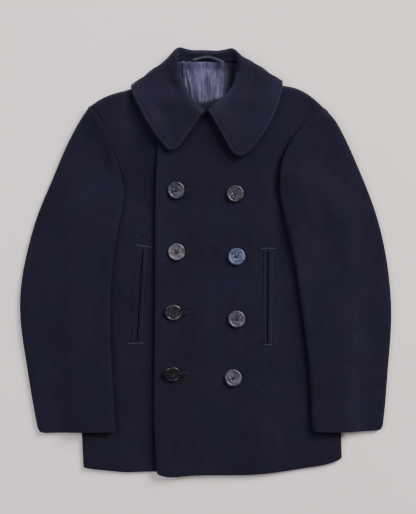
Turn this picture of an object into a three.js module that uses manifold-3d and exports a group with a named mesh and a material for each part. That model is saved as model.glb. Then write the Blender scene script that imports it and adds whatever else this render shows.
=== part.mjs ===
// A double-breasted wool pea coat, buttoned and laid flat on its back.
// Millimetres. X runs across the coat, Y from hem to collar, Z up from the surface it lies on.
// "right" and "left" are the wearer's: the right side of the coat lies at negative X.
// Each cut piece is a wall of cloth: an outline in plan, a height over it, and a thickness.
import * as THREE from "three";
import Module from "manifold-3d";

const wasm = await Module();
wasm.setup();
const { Manifold, Mesh: SolidMesh } = wasm;
const { lerp, smoothstep, clamp, degToRad } = THREE.MathUtils;

// Driving dimensions
const CLOTH = 2.4; // heavy kersey
const COLLAR_CLOTH = 3.2; // top collar and under collar, pressed together
const LINING = 1.0;
const SEAM = 0.3; // between two pieces at a seam
const ARMHOLE_GAP = 1.1; // in plan, where the facets of a curved seam would otherwise meet
const REST = 0.7; // between two pieces that lie on each other
const SIDE_FOLD_RADIUS = 8; // the rounded side of the body
const SHOULDER_FOLD_RADIUS = 11;
const SLEEVE_FOLD_RADIUS = 9;
const SLEEVE_HEIGHT = 7.7; // both layers and the air between them
const SLEEVE_EDGE_RISE = 1; // the folds of a sleeve stand a little higher than its middle
const SHOULDER_LOFT = 9.5; // the canvas and wadding of the shoulders hold the cloth up
const UNDER_EDGE_X = 93; // front edge of the right front, hidden under the left front
const OVER_EDGE_X = -90; // front edge of the left front, as it shows

// Outlines in plan, each a short table of points along one edge
const SHOULDER = {
  right: [[-207.9, 282.2], [-189.9, 294.8], [-161, 306.5], [-132, 312.5], [-95, 330], [-54, 357]],
  left: [[216.9, 275], [199, 292.5], [178, 308], [156, 317], [132, 320], [98, 333], [58.5, 357]],
};
const ARMHOLE = {
  right: [[-146, 134.6], [-149.4, 156.2], [-155.7, 179.6], [-165.6, 203], [-175.5, 226],
    [-183.6, 251], [-194.4, 270], [-207.9, 282.2]],
  left: [[133.2, 140], [134.1, 171.5], [138.6, 189.5], [147.6, 210.2], [161.1, 230],
    [174.6, 246.2], [190, 261], [203, 270], [216.9, 275]],
};
const BACK_ARMHOLE = {
  right: [[-223, 98], [-196, 122], [-184, 148], [-179, 172], [-178, 200], [-186, 240], [-207.9, 282.2]],
  left: [[242, 104], [212, 122], [196, 146], [190, 172], [190, 205], [198, 242], [216.9, 275]],
};
const SIDE = {
  right: [[-220.5, -369.4], [-223.2, -315], [-226, -200], [-226, -60], [-225, 50], [-223, 98]],
  left: [[246.4, -352], [244.5, -305], [243, -200], [243, -60], [243, 50], [242, 104]],
};
const SLEEVE_OUTER = {
  right: [[-207.9, 282.2], [-233, 246.2], [-254.7, 203], [-278.1, 145.4], [-303.3, 87.8],
    [-319.5, 30.2], [-332.1, -27.4], [-336, -80], [-332, -128], [-324.9, -171.4],
    [-315.9, -229], [-306.9, -282], [-301.5, -307]],
  left: [[216.9, 275], [242.1, 246.2], [261.9, 203], [287.1, 145.4], [308.7, 87.8],
    [323.1, 30.2], [332.1, -27.4], [336, -80], [334.5, -134], [330, -185],
    [326.7, -229], [322.5, -282], [319.5, -302]],
};
const SLEEVE_INNER = {
  right: [[-146, 134.6], [-146.7, 113], [-152.1, 91.4], [-158.5, 55.4], [-165, 22],
    [-170.5, -43.6], [-172, -110], [-168.8, -193], [-165.5, -252], [-161.5, -304.5]],
  left: [[133.2, 140], [134.1, 122], [138.6, 97.2], [146, 66], [161.8, -7.2],
    [173.9, -94], [184.9, -175.9], [189.5, -240], [190.5, -290], [193.5, -303.7]],
};
const CUFF = {
  right: [[-301.5, -307], [-262, -306], [-222.8, -304.6], [-190, -305], [-161.5, -304.5]],
  left: [[319.5, -302], [281, -303.6], [243.9, -304.9], [193.5, -303.7]],
};
// The hidden head of each under sleeve: along the back's armhole, then over the front to the inner fold
const UNDER_SLEEVE_TOP = {
  right: [[-209.5, 279], [-187, 240], [-179.8, 200], [-182.2, 172], [-181, 142], [-179, 108], [-174, 74],
    [-158.5, 55.4]],
  left: [[218.5, 272], [199.4, 242], [192, 205], [193.6, 172], [191, 146], [184, 116], [170, 84], [146, 66]],
};
const RIGHT_FRONT_HEM = [[UNDER_EDGE_X, -379], [20, -380], [-60, -378.5], [-89, -376.7],
  [-114, -376.4], [-136, -379], [-175, -375], [-206, -372.5], [-220.5, -369.4]];
const LEFT_FRONT_HEM = [[-88, -381], [-79, -387.5], [-55, -386.5], [-20, -383.2], [48, -383],
  [90, -382], [134, -377.1], [186, -369.2], [230, -361.5], [246.4, -352]];
const LEFT_FRONT_EDGE = [[-88, -381], [-91.4, -315], [-92.3, -247], [-90.4, -85], [-89.5, 113],
  [-87.3, 185], [-84.2, 215], [-82, 250]];
const RIGHT_NECK = [[-54, 357], [-52, 344], [-47, 322], [-35, 299], [-17, 276],
  [6, 258], [48, 249], [UNDER_EDGE_X, 246]];
const LEFT_NECK = [[58.5, 357], [60, 343], [54, 320], [38, 299], [10, 275], [-10, 262], [-45, 254], [-82, 250]];
const BACK_NECK = [[-54, 357], [-28, 355], [2, 354], [30, 355], [58.5, 357]];
const BACK_HEM_RISE = 5; // the back hem lies this far inside the front hems

// The collar, a row for each section from its front edge round to the middle of the back:
// its neck seam, its roll line, the rise past the roll, and the way and the distance the fall runs.
// "fold" is how far the roll is from the line where the fall turns under the coat, "facing" the way
// that line looks, and "top" the height there; "wrap" is 1 past the coat. Angles in degrees from X.
// The neck seam lies on the coat where that is higher than its own z.
const COLLAR_COLUMNS = ["neckX", "neckY", "neckZ", "rollX", "rollY", "rollZ", "rise", "out", "fall",
  "facing", "fold", "top", "wrap"];
const ON_COAT = 19;
const COLLAR = {
  right: [
    [-9, 260, 19.5, -2.5, 271, 22, 1.6, 234.2, 80, 126.5, 120, 19.5, 0],
    [-15, 266, 19.2, -9.5, 277, 22.4, 2.2, 236.3, 92, 126.5, 110, 19.5, 0],
    [-25, 275, ON_COAT, -16.5, 283.5, 22.8, 2.6, 234.4, 95.4, 126.5, 100, 19.5, 0],
    [-37, 290, ON_COAT, -26, 294.5, 22.8, 2.8, 225.4, 91.2, 126.5, 85, 19.5, 0],
    [-47, 309, ON_COAT, -35.5, 310.5, 22.8, 2.8, 214.7, 89.5, 126.5, 65, 19.5, 0],
    [-55, 331, ON_COAT, -43.5, 333, 22.8, 2.8, 207.8, 92.2, 126.5, 42, 19.5, 0],
    [-58, 345, ON_COAT, -48, 350, 22.8, 2.8, 207.2, 93.9, 126.5, 26, 19.6, 0.4],
    [-57.5, 351, ON_COAT, -49.5, 357, 22.8, 2.7, 204, 95, 126.5, 19.3, 20.2, 1],
    [-56, 356, 18.6, -50.5, 363.5, 22.6, 2.4, 195, 96, 126.5, 13.5, 22.3, 1],
    [-53, 359.5, 17, -51, 369.5, 22, 1.7, 178, 98, 126.5, 8.4, 23.2, 1],
    [-49, 361, 14.8, -50.5, 374.5, 21, 0.9, 162, 100, 122, 5.5, 21.9, 1],
    [-43, 361.3, 12.8, -47.5, 377.5, 19.3, 0.4, 131, 102, 108, 5.2, 19.7, 1],
    [-35, 361, 11.4, -39, 377.5, 17.4, 0.2, 107, 103, 97, 5.2, 17.6, 1],
    [-23, 360, 10.5, -26.5, 375.5, 15.7, 0.1, 91.5, 102, 90, 5.2, 15.8, 1],
    [-10, 359.5, 10.1, -11.5, 373.7, 14.6, 0, 90, 101, 90, 5.3, 14.6, 1],
  ],
  left: [
    [11, 258, 19.5, 5.5, 270.5, 22, 1.6, -60, 83.1, 56.5, 120, 19.5, 0],
    [18, 264, 19.2, 12, 276.5, 22.4, 2.2, -60.6, 99.8, 56.5, 110, 19.5, 0],
    [28, 274, ON_COAT, 19.5, 284, 22.8, 2.6, -56.4, 103.9, 56.5, 100, 19.5, 0],
    [42, 290, ON_COAT, 33.5, 295.5, 22.8, 2.8, -46.3, 96.2, 56.5, 85, 19.5, 0],
    [54, 308, ON_COAT, 46, 310, 22.8, 2.8, -36.9, 90, 56.5, 67, 19.5, 0],
    [63, 331, ON_COAT, 54.5, 330.5, 22.8, 2.8, -30.8, 87.9, 56.5, 43, 19.5, 0],
    [65.5, 347, ON_COAT, 58.5, 349, 22.8, 2.8, -27.4, 88, 56.5, 24.5, 19.6, 0.4],
    [64.5, 353, ON_COAT, 58.7, 357.5, 22.8, 2.7, -21.4, 88, 56.5, 17.8, 20.2, 1],
    [62.5, 357, 18.6, 58.5, 364.5, 22.6, 2.4, -12.5, 90, 56.5, 12, 22.3, 1],
    [59.5, 360, 17, 58, 370.5, 22, 1.7, 4, 94, 56.5, 7.4, 23.2, 1],
    [54.5, 361.3, 14.8, 56, 375.5, 21, 0.9, 20, 98, 60, 5, 21.9, 1],
    [48, 361.3, 12.8, 52, 378.5, 19.3, 0.4, 50, 101, 72, 5.4, 19.7, 1],
    [39, 361, 11.4, 42.5, 378, 17.4, 0.2, 74, 103, 84, 5.4, 17.6, 1],
    [27, 360, 10.5, 30.5, 376, 15.7, 0.1, 88.5, 102, 90, 5.3, 15.8, 1],
    [14, 359.5, 10.1, 15.5, 373.8, 14.6, 0, 90, 101, 90, 5.3, 14.6, 1],
  ],
};
const BACK_FALL_Z = 1.6; // the middle of the fall under the back

// Soft folds of the fronts and sleeves: middle, length, width, height and turn from upright
const FOLDS = [
  { x: -118, y: 205, long: 150, wide: 26, high: 1.6, turn: -18 },
  { x: -120, y: -60, long: 260, wide: 40, high: 1.3, turn: -3 },
  { x: -10, y: 185, long: 110, wide: 30, high: 1.4, turn: 62 },
  { x: 2, y: -30, long: 240, wide: 34, high: 1.2, turn: 4 },
  { x: 96, y: 90, long: 190, wide: 30, high: 1.4, turn: 10 },
  { x: 128, y: -240, long: 220, wide: 46, high: 1.6, turn: 6 },
  { x: -40, y: -300, long: 170, wide: 40, high: 1.2, turn: -6 },
  { x: 110, y: 235, long: 120, wide: 26, high: 1.5, turn: 28 },
];
const SLEEVE_FOLDS = [
  { x: -232, y: 30, long: 230, wide: 26, high: 1.5, turn: -8 },
  { x: -285, y: -30, long: 260, wide: 24, high: 1.2, turn: -14 },
  { x: -208, y: 165, long: 130, wide: 24, high: 1.8, turn: -30 },
  { x: -240, y: -170, long: 200, wide: 26, high: 1.1, turn: 4 },
  { x: 218, y: 110, long: 190, wide: 30, high: 1.6, turn: 20 },
  { x: 290, y: -20, long: 260, wide: 26, high: 1.3, turn: 8 },
  { x: 240, y: -140, long: 240, wide: 26, high: 1.2, turn: 5 },
];
// Pleats of the loose lining in the neck: where each stands at its top and bottom, and its size
const PLEATS = [
  { top: -52, bottom: -44, wide: 4, high: 1.6 },
  { top: -42, bottom: -27, wide: 4, high: 2.4 },
  { top: -31, bottom: -21, wide: 3.4, high: 1.4 },
  { top: -21, bottom: -8, wide: 3.6, high: 2.2 },
  { top: -9, bottom: -1, wide: 4, high: 1.2 },
  { top: 3, bottom: 6, wide: 4.4, high: 1.7 },
  { top: 15, bottom: 13, wide: 3.4, high: 1.3 },
  { top: 25, bottom: 20, wide: 4.6, high: 1.8 },
  { top: 36, bottom: 28, wide: 3.6, high: 1.3 },
  { top: 47, bottom: 38, wide: 4.2, high: 1.5 },
];

// Buttons, a row each: plan position and how far each leans on its thread
const BUTTON = { diameter: 30.6, thick: 4.2, rim: 2.6, dish: 1.1, holeRadius: 1.15, holeRing: 3.1 };
const BUTTON_SEAT = 0.35; // clear of the front
const BUTTONS = [
  { name: "button_fastening_1", x: -52.2, y: 130.1, lean: 3 },
  { name: "button_fastening_2", x: -51.8, y: 19.6, lean: 4 },
  { name: "button_fastening_3", x: -57.6, y: -88.7, lean: 18 },
  { name: "button_fastening_4", x: -58.5, y: -198.9, lean: 28 },
  { name: "button_outer_1", x: 53.8, y: 124.2, lean: 2 },
  { name: "button_outer_2", x: 56, y: 11.2, lean: -2 },
  { name: "button_outer_3", x: 56.3, y: -101.2, lean: 2 },
  { name: "button_outer_4", x: 50, y: -207, lean: -3 },
];
// Each pocket mouth is a slit between two narrow welts
const WELT = { thick: 1.5, slit: 2.6, inner: 6.2, outer: 7.4 };
const POCKETS = [
  { side: "right", top: [-112.9, 25], bottom: [-123.6, -143] },
  { side: "left", top: [112.6, 22], bottom: [111.2, -146] },
];
const HANGER = { width: 4.6, thick: 1.4, ends: [[-22.5, 364.5], [34, 360]], bow: 7, lift: 0.8, height: 17.3 };

// Plan curves and patches
const curve = (rows) =>
  new THREE.CatmullRomCurve3(rows.map(([x, y]) => new THREE.Vector3(x, y, 0)), false, "centripetal");
const backwards = (rows) => [...rows].reverse();

// One edge made of several curves; "stops" says how far along the edge each of them ends
function edge(parts, stops = [1]) {
  const curves = parts.map(curve);
  return (t) => {
    const k = Math.max(0, stops.findIndex((stop) => t <= stop + 1e-9));
    const from = k === 0 ? 0 : stops[k - 1];
    return curves[k].getPointAt(clamp((t - from) / (stops[k] - from), 0, 1));
  };
}

// A smooth patch between four edges: start and end run along v, low and high along u
function patch({ start, end, low, high }) {
  const corner = { a: low(0), b: low(1), c: high(0), d: high(1) };
  return (u, v) => {
    const s = start(v);
    const e = end(v);
    const l = low(u);
    const h = high(u);
    const at = (k) =>
      lerp(s[k], e[k], u) + lerp(l[k], h[k], v) -
      lerp(lerp(corner.a[k], corner.b[k], u), lerp(corner.c[k], corner.d[k], u), v);
    return { x: at("x"), y: at("y") };
  };
}

// Distance in plan to an edge, from points sampled along it
function distanceTo(rows, samples = 80) {
  const points = curve(rows).getPoints(samples);
  return (x, y) => {
    let nearest = Infinity;
    for (let i = 0; i < samples; i++) {
      const a = points[i];
      const b = points[i + 1];
      const dx = b.x - a.x;
      const dy = b.y - a.y;
      const t = clamp(((x - a.x) * dx + (y - a.y) * dy) / (dx * dx + dy * dy), 0, 1);
      nearest = Math.min(nearest, Math.hypot(x - a.x - dx * t, y - a.y - dy * t));
    }
    return nearest;
  };
}

// How far up its rounding a fold is, 0 at its outermost line and 1 past its radius
const rounding = (distance, radius) => Math.sqrt(1 - (1 - clamp(distance / radius, 0, 1)) ** 2);

// Steps between the stops, so many in each stretch, with closer ones where an end rolls over
function steps(counts, { stops = [0, 1], rollAtStart = 0, rollAtEnd = 0 } = {}) {
  const ends = [...stops];
  ends[0] += rollAtStart;
  ends[ends.length - 1] -= rollAtEnd;
  const values = [ends[0]];
  counts.forEach((count, k) => {
    for (let i = 1; i <= count; i++) values.push(lerp(ends[k], ends[k + 1], i / count));
  });
  const roll = [0, 0.076, 0.293, 0.617];
  if (rollAtStart) values.unshift(...roll.map((r) => r * rollAtStart));
  if (rollAtEnd) values.push(...roll.map((r) => 1 - r * rollAtEnd).reverse());
  return values;
}

// Heights of the cloth above the surface the coat lies on
function foldHeight(folds, x, y) {
  let height = 0;
  for (const f of folds) {
    const a = degToRad(f.turn);
    const across = (x - f.x) * Math.cos(a) + (y - f.y) * Math.sin(a);
    const along = (y - f.y) * Math.cos(a) - (x - f.x) * Math.sin(a);
    height += f.high * Math.exp(-((across / f.wide) ** 2) - (along / (f.long / 2)) ** 2);
  }
  return height;
}

const sideX = (x, y) => {
  const rows = x < 0 ? SIDE.right : SIDE.left;
  return lerp(rows[1][0], rows[3][0], clamp((y + 305) / 245, 0, 1));
};

// Outer face of a front where it lies on the back alone
function frontTop(x, y) {
  const shoulders = SHOULDER_LOFT * smoothstep(y, 90, 290);
  const sides = lerp(0.8, 2.2, smoothstep(y, -385, -330)) *
    (1 - smoothstep(Math.abs(x - sideX(x, y)), 12, 60)) * (1 - smoothstep(y, 60, 120));
  const belly = 1.6 * smoothstep(y, -385, -250);
  return 2 * CLOTH + REST + 1.2 + shoulders + sides + belly + foldHeight(FOLDS, x, y);
}

// The left front is raised where the right front lies under it
const overlapRise = (x, y) =>
  (CLOTH + REST) * (1 - smoothstep(x, UNDER_EDGE_X + 14, UNDER_EDGE_X + 52)) *
  (1 - smoothstep(x, -20, 20) * smoothstep(y, 262, 300));
const leftFrontTop = (x, y) => frontTop(x, y) + overlapRise(x, y);
const topOf = { right: frontTop, left: leftFrontTop };
// The coat's top under the collar: the left front's, but the right front's beside the right of the neck
const coatTop = (x, y) => lerp(frontTop(x, y), leftFrontTop(x, y),
  smoothstep(x, OVER_EDGE_X - 24, OVER_EDGE_X - 4) * lerp(1 - smoothstep(y, 252, 285), 1, smoothstep(x, -25, 0)));

// The back rises over the part of the collar that lies under it
const backBase = (x, y) =>
  (COLLAR_CLOTH + 0.8) * smoothstep(y, 205, 258) * (1 - smoothstep(Math.abs(x - 3), 134, 172));

const sideDistance = { right: distanceTo(SIDE.right), left: distanceTo(SIDE.left) };
const shoulderDistance = { right: distanceTo(SHOULDER.right), left: distanceTo(SHOULDER.left) };
const armholeDistance = { right: distanceTo(ARMHOLE.right), left: distanceTo(ARMHOLE.left) };

// Rolls a height down to the side and shoulder seams, which lie half way up the coat.
// "layer" is +1 for the fronts, above the seam, and -1 for the back
function rollToSeams(side, x, y, height, layer) {
  const seam = frontTop(x, y) / 2 + (layer * SEAM) / 2;
  const belowArmhole = 1 - 0.999 * smoothstep(y, 70, 100);
  const sideShare = rounding(sideDistance[side](x, y) / belowArmhole, SIDE_FOLD_RADIUS);
  const shoulderShare = rounding(shoulderDistance[side](x, y), SHOULDER_FOLD_RADIUS);
  return lerp(seam, height, sideShare * shoulderShare);
}

// What a sleeve's under layer lies on: the floor beside the body, and the front
const NOTCH = { right: ARMHOLE.right[0], left: ARMHOLE.left[0] };
const UNDERARM = { right: SIDE.right.at(-1), left: SIDE.left.at(-1) };
function sleeveBase(side, x, y) {
  const out = side === "right" ? -1 : 1;
  const [nx, ny] = NOTCH[side];
  const [ux, uy] = UNDERARM[side];
  const slope = (uy - ny) / (ux - nx);
  const aboveUnderarm = (y - ny - slope * (x - nx)) / Math.hypot(1, slope);
  const pastSide = out * (x - sideX(x, y));
  const share = (1 - smoothstep(aboveUnderarm, 6, 52)) * (1 - smoothstep(pastSide, 7, 46));
  return { share, base: share * (topOf[side](x, y) + REST + 1.3) };
}

const sleeveInnerDistance = { right: distanceTo(SLEEVE_INNER.right), left: distanceTo(SLEEVE_INNER.left) };
const sleeveOuterDistance = { right: distanceTo(SLEEVE_OUTER.right), left: distanceTo(SLEEVE_OUTER.left) };

// Mid height and half height of a sleeve's flattened tube at a plan point
function sleeveTube(side, x, y) {
  const { share, base } = sleeveBase(side, x, y);
  const fromCap = armholeDistance[side](x, y);
  const cap = smoothstep(y, 110, 275);
  const nearEdge = Math.min(sleeveInnerDistance[side](x, y), sleeveOuterDistance[side](x, y));
  const edgeBulge = SLEEVE_EDGE_RISE * (1 - smoothstep(nearEdge, 10, 34));
  const height = SLEEVE_HEIGHT + 6.5 * cap + edgeBulge + foldHeight(SLEEVE_FOLDS, x, y);
  const seamTop = topOf[side](x, y) + lerp(1.2, CLOTH + 2.1, share);
  const top = lerp(seamTop, base + height, smoothstep(fromCap, 0, 48));
  return { base, top, middle: (base + top) / 2 };
}
const sleeveShare = (side, x, y) =>
  Math.min(
    rounding(sleeveInnerDistance[side](x, y), SLEEVE_FOLD_RADIUS),
    rounding(sleeveOuterDistance[side](x, y), SLEEVE_FOLD_RADIUS),
  );

// A closed wall from rows of outer points and inner points
function closedWall(outer, inner) {
  const rows = outer.length;
  const columns = outer[0].length;
  const position = [];
  for (const p of [outer, inner].flat(2)) position.push(p.x, p.y, p.z);
  const at = (face, i, j) => face * rows * columns + i * columns + j;
  const index = [];
  const apart = (a, b) => Math.hypot(...[0, 1, 2].map((k) => position[3 * a + k] - position[3 * b + k]));
  const quad = (a, b, c, d) => {
    if (apart(a, c) <= apart(b, d)) index.push(a, b, c, a, c, d);
    else index.push(a, b, d, b, c, d);
  };
  for (let i = 0; i + 1 < rows; i++) {
    for (let j = 0; j + 1 < columns; j++) {
      quad(at(0, i, j), at(0, i, j + 1), at(0, i + 1, j + 1), at(0, i + 1, j));
      quad(at(1, i, j), at(1, i + 1, j), at(1, i + 1, j + 1), at(1, i, j + 1));
    }
  }
  for (let j = 0; j + 1 < columns; j++) {
    quad(at(0, 0, j), at(1, 0, j), at(1, 0, j + 1), at(0, 0, j + 1));
    quad(at(0, rows - 1, j), at(0, rows - 1, j + 1), at(1, rows - 1, j + 1), at(1, rows - 1, j));
  }
  for (let i = 0; i + 1 < rows; i++) {
    quad(at(0, i, 0), at(0, i + 1, 0), at(1, i + 1, 0), at(1, i, 0));
    quad(at(0, i, columns - 1), at(1, i, columns - 1), at(1, i + 1, columns - 1), at(0, i + 1, columns - 1));
  }
  let volume = 0;
  const p = (k) => new THREE.Vector3(...position.slice(3 * k, 3 * k + 3));
  for (let k = 0; k < index.length; k += 3) {
    volume += p(index[k]).dot(p(index[k + 1]).cross(p(index[k + 2])));
  }
  if (volume < 0) index.reverse();
  const geometry = new THREE.BufferGeometry();
  geometry.setAttribute("position", new THREE.Float32BufferAttribute(position, 3));
  geometry.setIndex(index);
  return geometry;
}

// A cloth wall whose outer face lies at a height over a plan; "facing" is the way that face looks.
// Its cut edges stand upright, but where "onFold" says so the edge faces its neighbour across a fold.
function clothWall({ across, along, plan, height, thickness, facing, onFold = () => false }) {
  const outer = along.map((v) => across.map((u) => {
    const { x, y } = plan(u, v);
    return new THREE.Vector3(x, y, height(x, y, onFold(u, v)));
  }));
  const slope = 0.25;
  const normals = outer.map((row) => row.map(({ x, y }) =>
    new THREE.Vector3(
      (height(x - slope, y) - height(x + slope, y)) / (2 * slope),
      (height(x, y - slope) - height(x, y + slope)) / (2 * slope),
      1,
    ).normalize().multiplyScalar(facing.z)));
  const last = { row: along.length - 1, column: across.length - 1 };
  const heading = (from, to) => new THREE.Vector3(to.x - from.x, to.y - from.y, 0).normalize();
  const plumb = (i, j, tangent) => {
    const squareToEdge = new THREE.Vector3(tangent.y, -tangent.x, 0);
    const n = normals[i][j];
    const share = n.dot(squareToEdge);
    const inside = outer[clamp(i, 1, last.row - 1)][clamp(j, 1, last.column - 1)];
    const outward = Math.sign(heading(inside, outer[i][j]).dot(squareToEdge));
    if (onFold(across[j], along[i])) n.copy(squareToEdge).multiplyScalar(outward);
    else n.addScaledVector(squareToEdge, -share).normalize();
  };
  for (const i of [0, last.row]) {
    for (let j = 1; j < last.column; j++) plumb(i, j, heading(outer[i][j - 1], outer[i][j + 1]));
  }
  for (const j of [0, last.column]) {
    for (let i = 1; i < last.row; i++) plumb(i, j, heading(outer[i - 1][j], outer[i + 1][j]));
  }
  for (const i of [0, last.row]) {
    for (const j of [0, last.column]) {
      const nextRow = i === 0 ? 1 : i - 1;
      const nextColumn = j === 0 ? 1 : j - 1;
      const columnFolds = onFold(across[j], along[nextRow]);
      const rowFolds = onFold(across[nextColumn], along[i]);
      if (columnFolds) normals[i][j].copy(heading(outer[i][nextColumn], outer[i][j]));
      else if (rowFolds) normals[i][j].copy(heading(outer[nextRow][j], outer[i][j]));
      else normals[i][j].copy(facing);
    }
  }
  const inner = outer.map((row, i) =>
    row.map((p, j) => p.clone().addScaledVector(normals[i][j], -thickness)));
  return closedWall(outer, inner);
}
const UP = new THREE.Vector3(0, 0, 1);
const DOWN = new THREE.Vector3(0, 0, -1);

// Booleans for pocket slits and button holes
function toSolid(geometry) {
  const position = geometry.getAttribute("position");
  const triangles = new Uint32Array(geometry.getIndex().array);
  return new Manifold(new SolidMesh({
    numProp: 3, vertProperties: new Float32Array(position.array), triVerts: triangles,
  }));
}
function toGeometry(solid) {
  const mesh = solid.getMesh();
  const geometry = new THREE.BufferGeometry();
  geometry.setAttribute("position", new THREE.Float32BufferAttribute(mesh.vertProperties, 3));
  geometry.setIndex(Array.from(mesh.triVerts));
  return geometry;
}
function prism(outline, bottomZ, topZ) {
  const low = outline.map(([x, y]) => new THREE.Vector3(x, y, bottomZ));
  const position = [...low, ...low.map((p) => p.clone().setZ(topZ))];
  const n = outline.length;
  const index = [];
  for (let i = 0; i < n; i++) {
    const j = (i + 1) % n;
    index.push(i, j, n + j, i, n + j, n + i);
    if (i > 0 && i < n - 1) index.push(0, i + 1, i, n, n + i, n + i + 1);
  }
  const geometry = new THREE.BufferGeometry().setFromPoints(position);
  geometry.setIndex(index);
  return geometry;
}

// The body panels. The outer edge of a front has three stretches: side seam, underarm and armhole.
const BODY_STOPS = [0.62, 0.7, 1];
const FRONT_EDGE_STOPS = [0.84, 1]; // front edge, then neck
const BACK_TOP_STOPS = [0.36, 0.63, 1];
const RIGHT_FRONT_EDGE = [[UNDER_EDGE_X, -379], [UNDER_EDGE_X, -100], [UNDER_EDGE_X, 246]];
const frontPlan = (side, frontEdge, neck, hem) => patch({
  start: edge([frontEdge, backwards(neck)], FRONT_EDGE_STOPS),
  end: edge([SIDE[side], [UNDERARM[side], NOTCH[side]], ARMHOLE[side]], BODY_STOPS),
  low: edge([hem]),
  high: edge([backwards(SHOULDER[side])]),
});
const rightFrontPlan = frontPlan("right", RIGHT_FRONT_EDGE, RIGHT_NECK, RIGHT_FRONT_HEM);
const leftFrontPlan = frontPlan("left", LEFT_FRONT_EDGE, LEFT_NECK, LEFT_FRONT_HEM);
const backHem = [...backwards(RIGHT_FRONT_HEM).slice(0, 5), [0, -379], ...LEFT_FRONT_HEM.slice(5)]
  .map(([x, y], i, all) => [x, y + (i === 0 || i === all.length - 1 ? 0 : BACK_HEM_RISE)]);
const backPlan = patch({
  start: edge([SIDE.right, BACK_ARMHOLE.right], [BODY_STOPS[0], 1]),
  end: edge([SIDE.left, BACK_ARMHOLE.left], [BODY_STOPS[0], 1]),
  low: edge([backHem]),
  high: edge([SHOULDER.right, BACK_NECK, backwards(SHOULDER.left)], BACK_TOP_STOPS),
});

const FRONT_WIDTH = 315;
const COAT_LENGTH = 740;
const shoulderRoll = SHOULDER_FOLD_RADIUS / COAT_LENGTH;
const bodyRows = steps([8, 2, 8], { stops: [0, ...BODY_STOPS], rollAtEnd: shoulderRoll });
const onSide = (v) => v <= BODY_STOPS[0];

// A front dips a little where it is sewn to the sleeve
const armholeDip = (side, x, y) => 0.7 * (1 - smoothstep(armholeDistance[side](x, y), 0, 40));

function front(side, plan, columns) {
  return clothWall({
    across: steps([columns], { rollAtEnd: SIDE_FOLD_RADIUS / FRONT_WIDTH }),
    along: bodyRows,
    plan,
    height: (x, y) => rollToSeams(side, x, y, topOf[side](x, y) - armholeDip(side, x, y), 1),
    thickness: CLOTH,
    facing: UP,
    onFold: (u, v) => v === 1 || (u === 1 && onSide(v)),
  });
}

const backBottom = (x, y) => rollToSeams(x < 2 ? "right" : "left", x, y, backBase(x, y), -1);

function back() {
  const roll = SIDE_FOLD_RADIUS / (1.5 * FRONT_WIDTH);
  return clothWall({
    across: steps([12], { rollAtStart: roll, rollAtEnd: roll }),
    along: steps([8, 7], { stops: [0, BODY_STOPS[0], 1], rollAtEnd: shoulderRoll }),
    plan: backPlan,
    height: backBottom,
    thickness: CLOTH,
    facing: DOWN,
    onFold: (u, v) => ((u === 0 || u === 1) && onSide(v)) ||
      (v === 1 && (u <= BACK_TOP_STOPS[0] || u >= BACK_TOP_STOPS[1])),
  });
}

// The two layers of each sleeve, which meet along its outer and inner folds
function sleevePlan(side, head) {
  const below = (rows, end) => [end, ...rows.filter(([, y]) => y < end[1] - 12)];
  return patch({
    start: edge([below(SLEEVE_OUTER[side], head[0])]),
    end: edge([below(SLEEVE_INNER[side], head.at(-1))]),
    low: edge([head]),
    high: edge([CUFF[side]]),
  });
}
const SLEEVE_WIDTH = 150;
const sleeveRoll = {
  rollAtStart: SLEEVE_FOLD_RADIUS / SLEEVE_WIDTH,
  rollAtEnd: SLEEVE_FOLD_RADIUS / SLEEVE_WIDTH,
};
const onSleeveFold = (u) => u === 0 || u === 1;

function upperSleeve(side) {
  const out = side === "right" ? -1 : 1;
  const plan = sleevePlan(side, backwards(ARMHOLE[side]).map(([x, y]) => [x + out * ARMHOLE_GAP, y]));
  const height = (x, y, folded) => {
    const { middle, top } = sleeveTube(side, x, y);
    if (folded) return middle + SEAM;
    const seamDrop = 1.6 * (1 - rounding(armholeDistance[side](x, y) - ARMHOLE_GAP, 10));
    return lerp(middle + SEAM, top - seamDrop, sleeveShare(side, x, y));
  };
  return clothWall({
    across: steps([9], sleeveRoll), along: steps([2, 14], { stops: [0, 0.05, 1] }),
    plan, height, thickness: CLOTH, facing: UP, onFold: onSleeveFold,
  });
}

function underSleeve(side) {
  const plan = sleevePlan(side, UNDER_SLEEVE_TOP[side]);
  const height = (x, y, folded) => {
    const { middle, base } = sleeveTube(side, x, y);
    if (folded) return middle - SEAM;
    return lerp(middle - SEAM, base, sleeveShare(side, x, y));
  };
  return clothWall({
    across: steps([9], sleeveRoll), along: steps([15]),
    plan, height, thickness: CLOTH, facing: DOWN, onFold: onSleeveFold,
  });
}

// The collar: stand, roll and fall in one wall, worn outward over the shoulders and under the back
const direction = (degrees) => new THREE.Vector2(Math.cos(degToRad(degrees)), Math.sin(degToRad(degrees)));

const lieOnCoat = (x, y) => coatTop(x, y) + 1.3 + COLLAR_CLOTH / 2;

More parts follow.
